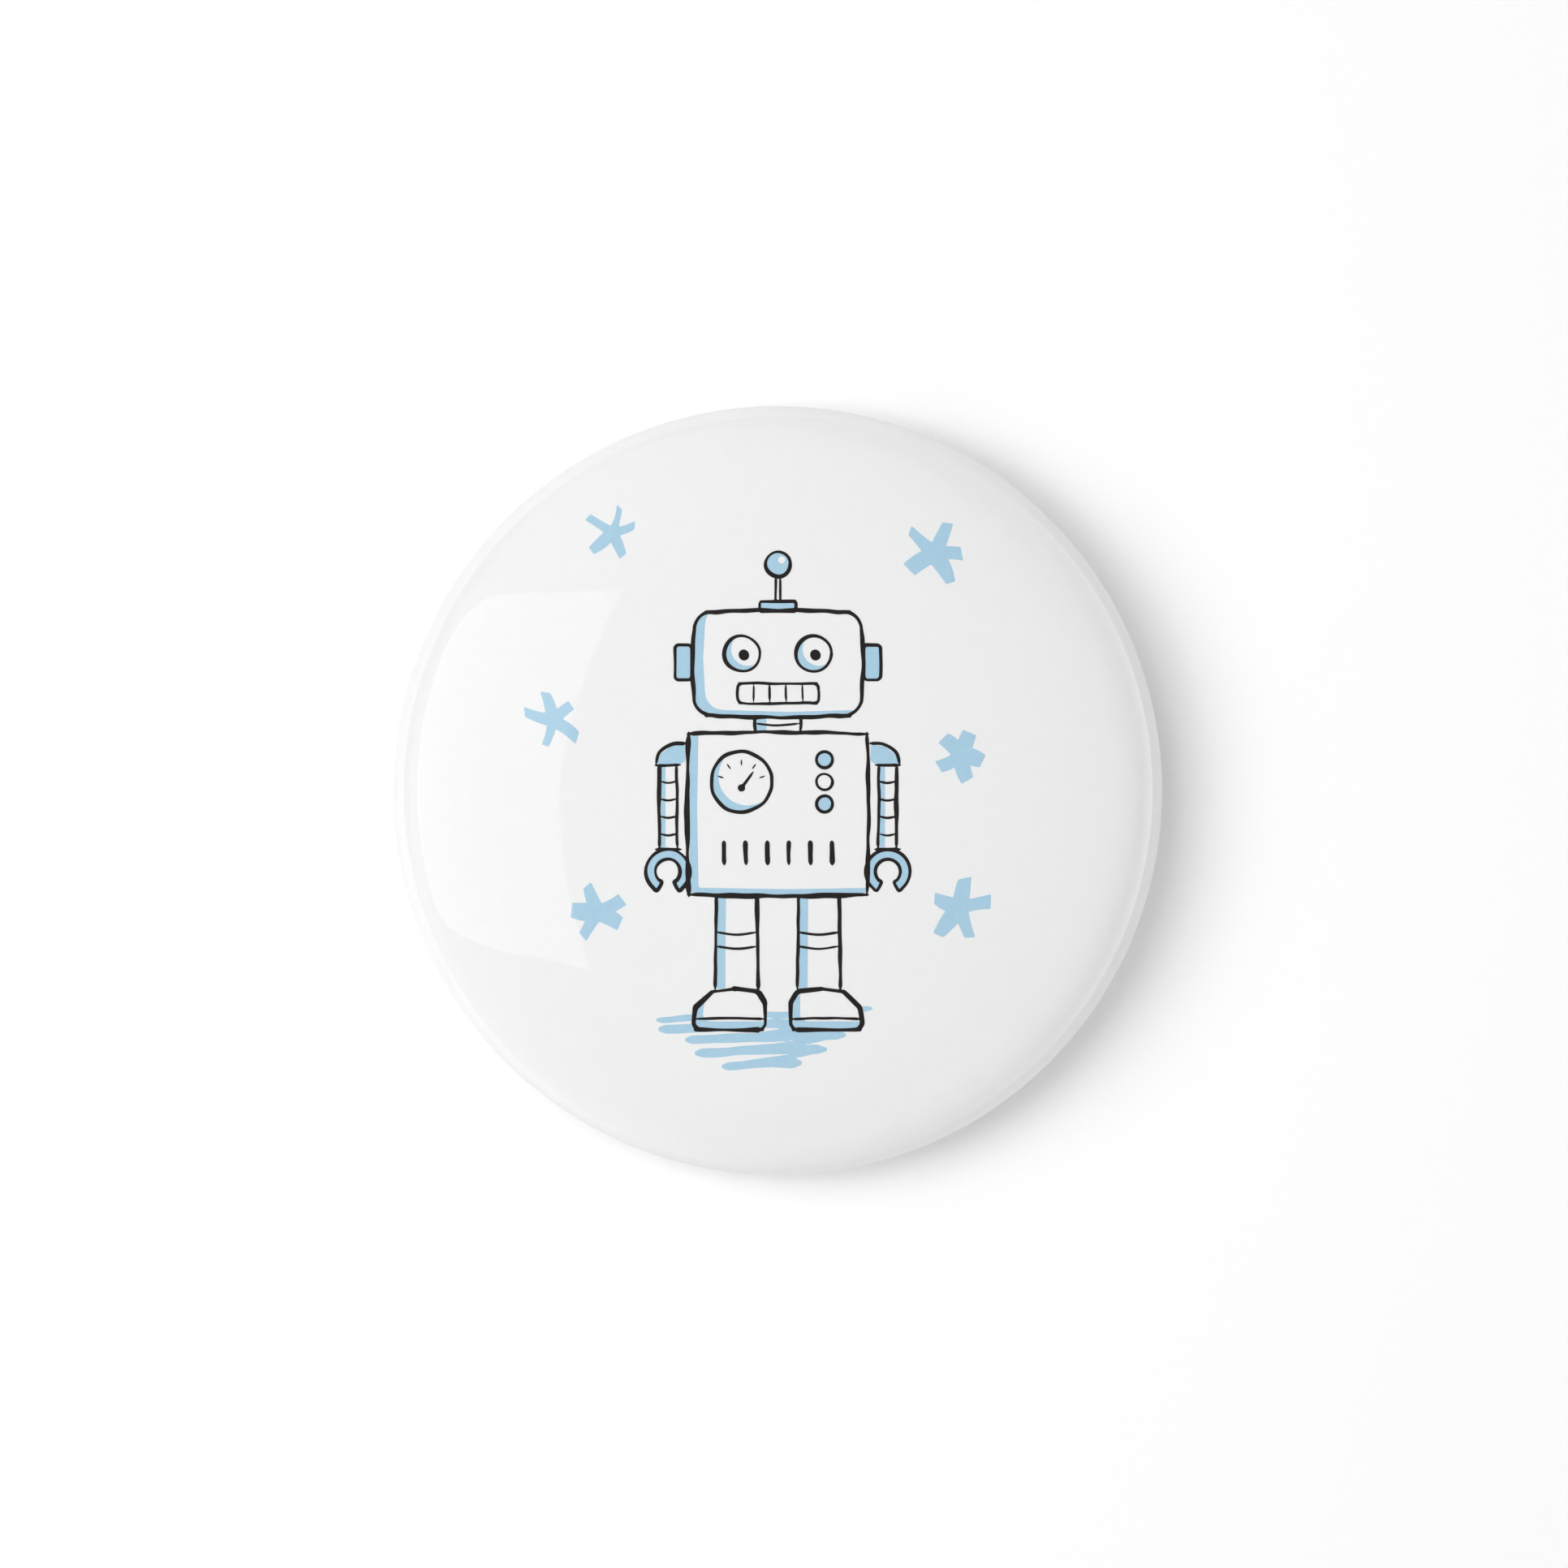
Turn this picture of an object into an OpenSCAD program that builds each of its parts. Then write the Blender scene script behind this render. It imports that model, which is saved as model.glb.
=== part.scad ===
// Pin-back button badge, 58 mm: a film-wrapped domed steel shell over a moulded back with a locking bar pin.
// Frame: +Z is the way the face looks, +Y is the top of the artwork, and Z = 0 is the plane the badge lies on.
// The pin bar lies along X. All lengths are in millimetres and all angles in degrees.

/* [Badge] */
// Finished diameter over the wrapped film
badge_d = 58; // [57:0.5:60]
// Height from the resting plane to the crown of the face
badge_h = 8.0; // [8:0.1:8.6]
// How strongly the face is domed, 1 being the usual pressing
face_bow = 1; // [0.85:0.05:1.1]
// Radius of the curl under the rim
curl_r = 1.6; // [1.5:0.05:1.7]
// Height of the lowest point of the curl above the resting plane
curl_lift = 0.3; // [0.2:0.05:0.4]

/* [Layers] */
// Thickness of the clear polyester film
film_t = 0.10; // [0.08:0.01:0.12]
// Thickness of the printed paper disc
paper_t = 0.12; // [0.08:0.01:0.14]
// Thickness of the tinplate shell
shell_t = 0.24; // [0.2:0.01:0.26]
// Air left between one layer and the next
layer_gap = 0.03; // [0.02:0.005:0.03]
// How far the film and paper turn up inside the curl
hem_h = 1.3; // [0.9:0.1:1.3]
// How far round its curl the shell's own lip reaches
lip_angle = 140; // [120:5:150]

/* [Back] */
// Radius of the round well that holds the pin
well_r = 17.2; // [17:0.1:17.4]
// Depth of the well, up from the resting plane
well_z = 5.0; // [4.9:0.1:5]
// Wall thickness of the moulded back
back_t = 0.9; // [0.8:0.05:0.95]
// Width of the flat land that the badge rests on
land_w = 1.8; // [1.5:0.1:2]
// Height of the shelf between the well and the land
shelf_z = 1.1; // [1:0.1:1.3]
// Number of short ribs on the shelf
rib_n = 24; // [12:4:36]

/* [Pin bar] */
// Length from the hinge rivet to the needle's point
needle_len = 27.5; // [27.2:0.1:27.6]
// Needle diameter
needle_d = 0.9; // [0.8:0.05:0.95]
// Length of the ground point
point_len = 3.8; // [3.5:0.1:4]
// Width of the bar between its narrow ends
bar_w = 4.6; // [4.2:0.1:5]
// Thickness of the bar's sheet
bar_t = 0.6; // [0.5:0.05:0.6]
// Height of the needle's axis above the resting plane
needle_z = 2.3; // [2.3:0.05:2.4]
// Distance of each staked peg from the middle of the bar
peg_x = 6.5; // [5.5:0.5:7.5]
// Diameter of the staked pegs
peg_d = 2.3; // [2:0.1:2.4]
// Diameter of the hinge rivet
rivet_d = 1.0; // [0.9:0.05:1.05]

/* [Catch] */
// Outer diameter of the rotating barrel
barrel_d = 2.16; // [2.1:0.02:2.2]
// Inner diameter of the rotating barrel
barrel_bore = 1.44; // [1.36:0.02:1.5]
// Width of the slot that lets the needle out
slot_w = 1.2; // [1.1:0.05:1.25]
// Reach of the thumb lever from the barrel's axis
lever_r = 2.15; // [1.9:0.05:2.2]
// Resting direction of the lever, round from straight down
lever_angle = -60; // [-70:5:-50]

/* [Hidden] */
$fn = 64;

badge_r = badge_d / 2;
// The face is five arcs that run smoothly into each other: a nearly flat crown, two easy shoulders,
// a turn and the rolled edge. Each row is where an arc ends and the sine of its slope there.
knots = [[0, 0], [badge_r - 15, 0.045 * face_bow], [badge_r - 9, 0.088 * face_bow], [badge_r - 4.5, 0.178 * face_bow],
         [badge_r - 2.2, 0.32 * face_bow], [badge_r, 1]];
arc_steps = [6, 5, 6, 5, 11];
arc_r = [for (i = [0 : 4]) (knots[i + 1][0] - knots[i][0]) / (knots[i + 1][1] - knots[i][1])];
arc_x = [for (i = [0 : 4]) knots[i][0] - knots[i][1] * arc_r[i]];
// height of each arc's centre
function arc_z(i) = i == 0 ? badge_h - arc_r[0]
    : arc_z(i - 1) + (arc_r[i - 1] - arc_r[i]) * cos(asin(knots[i][1]));
curl_x = badge_r - curl_r;
curl_z = curl_lift + curl_r;
// how deep each layer's outer face lies below the film's outer face
paper_in = film_t + layer_gap;
shell_in = paper_in + paper_t + layer_gap;
// radius of the back's outer wall, and of the bead that holds it above the hem
back_r = badge_r - 2 * curl_r - 0.15;
hem_top = curl_z + hem_h;
// hinge, bar and catch
hinge_x = -13.2;
bar_z = well_z - bar_t;
bar_end_w = 2.2;
eye_w = 1.0;
ear_t = 0.5;
ear_in = eye_w / 2 + 0.08;
ear_r = 1.15;
eye_r = 1.1;
running = 0.06;
ring_x = 11.0;
ring_l = 2.4;
ring_in = barrel_d / 2 + 0.07;
ring_out = ring_in + 0.4;
barrel_x = 10.5;
barrel_l = 4.4;
head_h = 0.55;

function arc(cx, cz, r, a0, a1, n) =
    [for (i = [0 : n]) let (a = a0 + (a1 - a0) * i / n) [cx + r * cos(a), cz + r * sin(a)]];
function back_to_front(p) = [for (i = [len(p) - 1 : -1 : 0]) p[i]];

// The line of a layer's face, d below the film's outer face: the five arcs, the skirt and the curl.
// Its first stretch is flat, so the crown is a small disc and not a point.
function face_point(i, a, d) = [arc_x[i] + (arc_r[i] - d) * sin(a), arc_z(i) + (arc_r[i] - d) * cos(a)];
function face_line(d, curl_to) = concat(
    [[0, face_point(0, asin(knots[1][1]) / arc_steps[0], d)[1]]],
    [for (i = [0 : 4]) let (a0 = asin(knots[i][1]), a1 = asin(knots[i + 1][1]))
        for (k = [1 : arc_steps[i]]) face_point(i, a0 + (a1 - a0) * k / arc_steps[i], d)],
    arc(curl_x, curl_z, curl_r - d, 0, -curl_to, round(curl_to / 12)));

// A thin layer between two depths. hem is how far it turns up past the curl.
module layer(d0, d1, curl_to, hem) {
    up0 = hem > 0 ? [[badge_r - 2 * curl_r + d0, curl_z + hem]] : [];
    up1 = hem > 0 ? [[badge_r - 2 * curl_r + d1, curl_z + hem]] : [];
    rotate_extrude()
        polygon(concat(face_line(d0, curl_to), up0, up1, back_to_front(face_line(d1, curl_to))));
}

// Clear polyester film, wrapped over the face and tucked in behind
module clear_film()
    color([0.93, 0.95, 0.97, 0.25]) layer(0, film_t, 180, hem_h);

// Printed paper disc, under the film and tucked in with it
module printed_paper()
    color([0.95, 0.95, 0.95]) layer(paper_in, paper_in + paper_t, 180, hem_h);

// Domed tinplate shell with its lip curled under
module front_shell()
    color([0.74, 0.75, 0.77]) layer(shell_in, shell_in + shell_t, lip_angle, 0);

// A pin's staked head: a shallow mushroom that looks down
module staked_head(r, h)
    rotate_extrude()
        polygon(concat([[0, 0]], [[r, 0]],
            [for (i = [0 : 6]) let (a = i * 90 / 6) [(r - 0.35) + 0.35 * cos(a), -0.15 - (h - 0.15) * sin(a)]],
            [[0, -h]]));

// Moulded back: well, shelf, resting land and the bead that snaps above the hem
module back_plate() {
    t = back_t;
    land_in = back_r - 0.35 - land_w;
    shelf_out = land_in - 0.9;
    wall_x = well_r + 0.6;
    top = well_z + t;
    color([0.95, 0.95, 0.94]) {
        rotate_extrude()
            polygon([
                // seen from behind: well, shelf, land
                [0, well_z], [well_r, well_z], [well_r + 0.35, well_z - 0.12], [well_r + 0.5, well_z - 0.45],
                [wall_x + 0.25, shelf_z + 0.45], [wall_x + 0.4, shelf_z + 0.12], [wall_x + 0.75, shelf_z],
                [shelf_out, shelf_z], [shelf_out + 0.35, shelf_z - 0.12], [shelf_out + 0.55, shelf_z - 0.45],
                [land_in - 0.2, 0.12], [land_in, 0], [back_r - 0.35, 0], [back_r - 0.1, 0.1], [back_r, 0.35],
                // outer wall and bead
                [back_r, hem_top + 0.12], [back_r + 0.75, hem_top + 0.22], [back_r + 1.1, hem_top + 0.45],
                [back_r + 0.95, hem_top + 0.7], [back_r + 0.2, hem_top + 0.95], [back_r - t, hem_top + 0.9],
                // hidden side
                [back_r - t, 1.3], [back_r - t - 0.4, 0.95], [land_in + 0.2, 0.95], [shelf_out + 0.7, shelf_z + 0.3],
                [shelf_out + 0.2, shelf_z + t], [wall_x + t + 0.5, shelf_z + t], [wall_x + t + 0.1, shelf_z + t + 0.4],
                [well_r + 0.5 + t, well_z - 0.2], [well_r + 0.3 + t, top - 0.3], [well_r + t - 0.1, top], [0, top]]);
        // short radial ribs across the shelf
        for (i = [0 : rib_n - 1]) rotate([0, 0, (i + 0.5) * 360 / rib_n])
            translate([wall_x + 1.1, -0.3, shelf_z - 0.35]) cube([shelf_out - wall_x - 1.5, 0.6, 0.6]);
        // rails that locate the pin bar
        for (s = [-1, 1]) translate([-9, s * (bar_w / 2 + 0.5) - 0.35, well_z - 0.7]) cube([18, 0.7, 0.9]);
        // pegs, staked over the bar
        for (s = [-1, 1]) translate([s * peg_x, 0, 0]) {
            translate([0, 0, bar_z - 0.1]) cylinder(d = peg_d, h = bar_t + 0.3);
            translate([0, 0, bar_z - 0.02]) staked_head(peg_d / 2 + 0.75, head_h);
        }
    }
}

// Outline of the bar's sheet: wide in the middle, narrow under the hinge and the catch
module bar_outline() {
    w = bar_w / 2;
    e = bar_end_w / 2;
    polygon([[-11.2, w - 0.5], [-10.7, w], [9.4, w], [9.9, w - 0.5], [10.4, e], [13.7, e],
             [13.7, -e], [10.4, -e], [9.9, -w + 0.5], [9.4, -w], [-10.7, -w], [-11.2, -w + 0.5],
             [-11.7, -e], [-15.0, -e], [-15.0, e], [-11.7, e]]);
}

// One ear of the hinge, in the XZ plane, with the rivet's hole
module ear()
    rotate([90, 0, 0]) linear_extrude(height = ear_t, center = true) difference() {
        union() {
            translate([hinge_x, needle_z]) circle(r = ear_r);
            polygon([[-14.85, bar_z + 0.3], [hinge_x + ear_r - 0.04, bar_z + 0.3],
                     [hinge_x + ear_r - 0.06, needle_z], [hinge_x - ear_r + 0.06, needle_z], [-14.85, bar_z - 0.3]]);
        }
        translate([hinge_x, needle_z]) circle(r = rivet_d / 2 + 0.02);
    }

// Stamped bar with the hinge's ears and the rolled catch ring
module pin_bar()
    color([0.80, 0.80, 0.81]) {
        translate([0, 0, bar_z]) linear_extrude(height = bar_t) difference() {
            bar_outline();
            for (s = [-1, 1]) translate([s * peg_x, 0]) circle(d = peg_d + 0.2);
            circle(r = 0.9);
        }
        for (s = [-1, 1]) translate([0, s * (ear_in + ear_t / 2), 0]) ear();
        // catch ring, open downwards
        translate([ring_x, 0, needle_z]) rotate([0, 90, 0]) linear_extrude(height = ring_l) difference() {
            union() {
                circle(r = ring_out);
                translate([-(bar_z - needle_z + 0.3), -0.95]) square([bar_z - needle_z + 0.3 - ring_in, 1.9]);
            }
            circle(r = ring_in);
            translate([0, -slot_w / 2 - 0.05]) square([3, slot_w + 0.1]);
        }
    }

// Needle: a flattened eye, a straight shank and a ground point
module pin_needle()
    color([0.82, 0.82, 0.83]) difference() {
        union() {
            translate([hinge_x, 0, needle_z]) rotate([90, 0, 0]) cylinder(r = eye_r, h = eye_w, center = true);
            translate([0, 0, needle_z]) rotate([0, 90, 0]) rotate_extrude()
                polygon([[0, hinge_x + 0.7], [needle_d / 2, hinge_x + 0.7],
                         [needle_d / 2, hinge_x + needle_len - point_len],
                         [needle_d * 0.40, hinge_x + needle_len - point_len * 0.72],
                         [needle_d * 0.26, hinge_x + needle_len - point_len * 0.38],
                         [0.03, hinge_x + needle_len], [0, hinge_x + needle_len]]);
        }
        translate([hinge_x, 0, needle_z]) rotate([90, 0, 0]) cylinder(d = rivet_d + 2 * running, h = 3, center = true);
    }

// Rivet through both ears and the needle's eye, with a domed head at each end
module hinge_rivet() {
    half = ear_in + ear_t + 0.02;
    color([0.76, 0.76, 0.78]) translate([hinge_x, 0, needle_z]) rotate([90, 0, 0]) rotate_extrude()
        polygon([[0, -half - 0.4], [0.35, -half - 0.36], [0.7, -half - 0.22], [0.9, -half - 0.05], [0.9, -half],
                 [rivet_d / 2, -half], [rivet_d / 2, half],
                 [0.9, half], [0.9, half + 0.05], [0.7, half + 0.22], [0.35, half + 0.36], [0, half + 0.4]]);
}

// Rotating barrel with its collar and thumb lever; its slot lines up with the ring's to let the needle out
module catch_barrel()
    color([0.82, 0.82, 0.83]) translate([barrel_x, 0, needle_z]) rotate([0, 90, 0]) difference() {
        union() {
            cylinder(d = barrel_d, h = barrel_l);
            cylinder(r = ring_in + 0.27, h = 0.4);
            translate([0, 0, 3.0]) cylinder(r = ring_in + 0.15, h = 1.4);
            // the lever leans lever_angle round from straight down
            translate([0, 0, 3.1]) rotate([0, 0, lever_angle]) translate([barrel_d / 2 - 0.2, -0.3, 0])
                cube([lever_r - barrel_d / 2 + 0.2, 0.6, 1.2]);
        }
        translate([0, 0, -1]) cylinder(d = barrel_bore, h = barrel_l + 2);
        translate([0, -slot_w / 2, -1]) cube([4, slot_w, barrel_l + 2]);
    }

clear_film();
printed_paper();
front_shell();
back_plate();
pin_bar();
pin_needle();
hinge_rivet();
catch_barrel();
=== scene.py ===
import math

import bmesh
import bpy
import numpy as np
from mathutils import Matrix, Vector


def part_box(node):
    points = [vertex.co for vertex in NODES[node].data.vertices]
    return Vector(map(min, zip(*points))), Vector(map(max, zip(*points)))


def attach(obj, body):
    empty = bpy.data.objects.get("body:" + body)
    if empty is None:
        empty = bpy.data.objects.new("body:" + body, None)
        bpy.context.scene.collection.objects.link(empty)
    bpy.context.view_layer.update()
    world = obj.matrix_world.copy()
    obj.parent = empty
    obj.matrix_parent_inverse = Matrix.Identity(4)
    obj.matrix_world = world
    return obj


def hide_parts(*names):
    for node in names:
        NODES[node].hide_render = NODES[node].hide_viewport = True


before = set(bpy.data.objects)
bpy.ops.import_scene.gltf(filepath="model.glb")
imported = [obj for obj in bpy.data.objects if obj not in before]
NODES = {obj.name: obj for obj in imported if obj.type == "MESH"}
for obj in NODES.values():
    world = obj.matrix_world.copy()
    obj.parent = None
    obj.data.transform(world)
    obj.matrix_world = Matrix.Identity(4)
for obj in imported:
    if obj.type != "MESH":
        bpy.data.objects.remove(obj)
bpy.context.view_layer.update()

MM = 0.001
SCENE = bpy.context.scene

# ----------------------------------------------------------------------------------------------
# The badge's own numbers, in millimetres, as in the CAD frame
# ----------------------------------------------------------------------------------------------
film_lo, film_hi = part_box("clear_film")
BADGE_R = round(film_hi.x / MM, 2)
BADGE_H = round(film_hi.z / MM, 1)
CURL_R, CURL_LIFT = 1.6, 0.3
CURL_X, CURL_Z = BADGE_R - CURL_R, CURL_LIFT + CURL_R
HEM_TOP = CURL_Z + 1.3
FILM_T = 0.10
PAPER_IN, PAPER_T = 0.13, 0.12
BACK_R = BADGE_R - 2 * CURL_R - 0.15


# ----------------------------------------------------------------------------------------------
# Face profile: slope angle against radius, curving harder and harder towards the rolled edge
# ----------------------------------------------------------------------------------------------
def face_table():
    """(radius, height, slope angle) down the film's outer face, crown to skirt."""
    knots_a = np.radians([0, 2.0, 3.8, 7.4, 13.5, 19.5, 27, 90])
    knots_r = np.log([335, 250, 140, 51, 18.5, 6.2, 3.3, 3.1])
    a = np.radians(np.concatenate([np.linspace(0, 30, 3001), np.linspace(30, 90, 1501)[1:]]))
    ln = np.interp(a, knots_a, knots_r)
    for _ in range(60):
        ln[1:-1] = 0.25 * ln[:-2] + 0.5 * ln[1:-1] + 0.25 * ln[2:]
    rad = np.exp(ln)
    mid = 0.5 * (rad[1:] + rad[:-1])
    am = 0.5 * (a[1:] + a[:-1])
    da = np.diff(a)
    r = np.concatenate([[0], np.cumsum(mid * np.cos(am) * da)])
    drop = np.concatenate([[0], np.cumsum(mid * np.sin(am) * da)])
    k = BADGE_R / r[-1]
    return r * k, BADGE_H - drop * k, a


FACE_R, FACE_Z, FACE_A = face_table()
SKIRT_Z = float(FACE_Z[-1])


def face_z(r, depth):
    """Height of the surface that lies depth below the film's outer face, at radius r."""
    rr = FACE_R - depth * np.sin(FACE_A)
    zz = FACE_Z - depth * np.cos(FACE_A)
    return np.interp(r, rr, zz)


def face_line(n_crown=26, n_roll=22):
    """Points (r, z, nr, nz, wrap) of the outer face from the crown to the hem's top; wrap runs 0 to 1 round the curl."""
    out = []
    # even steps in radius over the face, then even steps in angle over the roll
    r_turn = BADGE_R - 3.0
    for i in range(n_crown + 1):
        r = r_turn * i / n_crown
        a = float(np.interp(r, FACE_R, FACE_A))
        out.append((r, float(np.interp(a, FACE_A, FACE_Z)), math.sin(a), math.cos(a), 0.0))
    a0 = float(np.interp(r_turn, FACE_R, FACE_A))
    for i in range(1, n_roll + 1):
        a = a0 + (math.pi / 2 - a0) * i / n_roll
        out.append((float(np.interp(a, FACE_A, FACE_R)), float(np.interp(a, FACE_A, FACE_Z)), math.sin(a), math.cos(a), 0.0))
    for i in range(1, 4):
        out.append((BADGE_R, SKIRT_Z + (CURL_Z - SKIRT_Z) * i / 3, 1.0, 0.0, 0.0))
    n = 26
    for i in range(1, n + 1):
        a = math.pi * i / n
        out.append((CURL_X + CURL_R * math.cos(a), CURL_Z - CURL_R * math.sin(a), math.cos(a), -math.sin(a), i / n))
    for i in range(1, 5):
        out.append((BADGE_R - 2 * CURL_R, CURL_Z + (HEM_TOP - CURL_Z) * i / 4, -1.0, 0.0, 1.0))
    return out


# ----------------------------------------------------------------------------------------------
# Mesh helpers
# ----------------------------------------------------------------------------------------------
def new_object(name, verts, faces, scale=MM, smooth=True, sharp=32.0):
    me = bpy.data.meshes.new(name)
    me.from_pydata([(x * scale, y * scale, z * scale) for x, y, z in verts], [], faces)
    me.update()
    me.validate()
    ob = bpy.data.objects.new(name, me)
    SCENE.collection.objects.link(ob)
    finish_mesh(ob, smooth, sharp)
    return ob


def finish_mesh(ob, smooth=True, sharp=32.0):
    bm = bmesh.new()
    bm.from_mesh(ob.data)
    bmesh.ops.remove_doubles(bm, verts=bm.verts, dist=1e-7)
    bmesh.ops.recalc_face_normals(bm, faces=bm.faces)
    bm.to_mesh(ob.data)
    bm.free()
    if smooth:
        ob.data.polygons.foreach_set("use_smooth", [True] * len(ob.data.polygons))
        ob.data.set_sharp_from_angle(angle=math.radians(sharp))
    ob.data.update()


def lathe_data(loop, n, move=None):
    """Verts and faces of a closed (r, z) loop turned about Z. move(r, z, angle, index) may shift a point."""
    verts, rings = [], []
    for k, (r, z) in enumerate(loop):
        if r < 1e-9:
            rings.append([len(verts)] * n)
            verts.append((0.0, 0.0, z))
            continue
        ring = []
        for j in range(n):
            a = 2 * math.pi * j / n
            rr, zz = (r, z) if move is None else move(r, z, a, k)
            ring.append(len(verts))
            verts.append((rr * math.cos(a), rr * math.sin(a), zz))
        rings.append(ring)
    faces = []
    m = len(loop)
    for k in range(m):
        a, b = rings[k], rings[(k + 1) % m]
        for j in range(n):
            f = [a[j], a[(j + 1) % n], b[(j + 1) % n], b[j]]
            g = []
            for v in f:
                if v not in g:
                    g.append(v)
            if len(g) > 2:
                faces.append(g)
    return verts, faces


def lathe(name, loop, n=192, move=None, sharp=32.0):
    v, f = lathe_data(loop, n, move)
    return new_object(name, v, f, sharp=sharp)


def fillet(points, radius, steps=4, closed=True):
    """Rounds each corner of a 2-D polygon. radius is one number or one for each corner."""
    out = []
    n = len(points)
    for i, p in enumerate(points):
        rad = radius[i] if isinstance(radius, (list, tuple)) else radius
        if not closed and i in (0, n - 1):
            out.append(tuple(p))
            continue
        p = Vector(p)
        a, b = Vector(points[i - 1]) - p, Vector(points[(i + 1) % n]) - p
        la, lb = a.length, b.length
        if rad <= 0 or la < 1e-6 or lb < 1e-6:
            out.append(tuple(p))
            continue
        a, b = a / la, b / lb
        cosang = max(-1.0, min(1.0, a.dot(b)))
        half = math.acos(cosang) / 2
        if half > math.radians(88.5) or half < math.radians(2):
            out.append(tuple(p))
            continue
        t = min(rad / math.tan(half), 0.45 * la, 0.45 * lb)
        rr = t * math.tan(half)
        c = p + (a + b).normalized() * (rr / math.sin(half))
        s, e = p + a * t, p + b * t
        a0 = math.atan2(s.y - c.y, s.x - c.x)
        a1 = math.atan2(e.y - c.y, e.x - c.x)
        d = (a1 - a0 + math.pi) % (2 * math.pi) - math.pi
        for k in range(steps + 1):
            q = a0 + d * k / steps
            out.append((c.x + rr * math.cos(q), c.y + rr * math.sin(q)))
    return out


def plate(name, loops, z0, z1, bevel=0.06, steps=3, matrix=None):
    """A flat plate with rounded edges from an outline and its holes, each a list of (x, y) in mm."""
    cu = bpy.data.curves.new(name, "CURVE")
    cu.dimensions = "2D"
    cu.fill_mode = "BOTH"
    for loop in loops:
        sp = cu.splines.new("POLY")
        sp.points.add(len(loop) - 1)
        for pt, (x, y) in zip(sp.points, loop):
            pt.co = (x, y, 0, 1)
        sp.use_cyclic_u = True
    cu.extrude = (z1 - z0) / 2 - bevel
    cu.bevel_depth = bevel
    cu.bevel_resolution = steps - 1
    cu.offset = -bevel
    tmp = bpy.data.objects.new(name + "_curve", cu)
    SCENE.collection.objects.link(tmp)
    bpy.context.view_layer.update()
    me = bpy.data.meshes.new_from_object(tmp.evaluated_get(bpy.context.evaluated_depsgraph_get()))
    me.transform(Matrix.Translation((0, 0, (z0 + z1) / 2)))
    if matrix is not None:
        me.transform(matrix)
    me.transform(Matrix.Scale(MM, 4))
    bpy.data.objects.remove(tmp)
    bpy.data.curves.remove(cu)
    ob = bpy.data.objects.new(name, me)
    SCENE.collection.objects.link(ob)
    finish_mesh(ob)
    return ob


def apply_modifiers(ob):
    dg = bpy.context.evaluated_depsgraph_get()
    me = bpy.data.meshes.new_from_object(ob.evaluated_get(dg))
    ob.modifiers.clear()
    old = ob.data
    ob.data = me
    bpy.data.meshes.remove(old)


def boolean(ob, others, operation="UNION", sharp=32.0):
    """Joins or cuts closed pieces into one clean mesh."""
    for other in others:
        m = ob.modifiers.new("bool", "BOOLEAN")
        m.operation = operation
        m.solver = "EXACT"
        m.object = other
        bpy.context.view_layer.update()
        apply_modifiers(ob)
    for other in others:
        bpy.data.objects.remove(other)
    finish_mesh(ob, sharp=sharp)
    return ob


def join_data(name, obs):
    """Several objects as one, each still its own closed shell."""
    bm = bmesh.new()
    for o in obs:
        bm.from_mesh(o.data)
    me = bpy.data.meshes.new(name)
    bm.to_mesh(me)
    bm.free()
    for o in obs:
        bpy.data.objects.remove(o)
    ob = bpy.data.objects.new(name, me)
    SCENE.collection.objects.link(ob)
    finish_mesh(ob)
    return ob


def arc_pts(cx, cy, r, a0, a1, n):
    return [(cx + r * math.cos(math.radians(a0 + (a1 - a0) * i / n)), cy + r * math.sin(math.radians(a0 + (a1 - a0) * i / n))) for i in range(n + 1)]


def circle_pts(cx, cy, r, n=48):
    return arc_pts(cx, cy, r, 0, 360, n)[:-1]


# ----------------------------------------------------------------------------------------------
# Material helpers
# ----------------------------------------------------------------------------------------------
def lin(rgb):
    return tuple((c / 12.92 if c <= 0.04045 else ((c + 0.055) / 1.055) ** 2.4) for c in [v / 255 for v in rgb]) + (1.0,)


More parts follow.
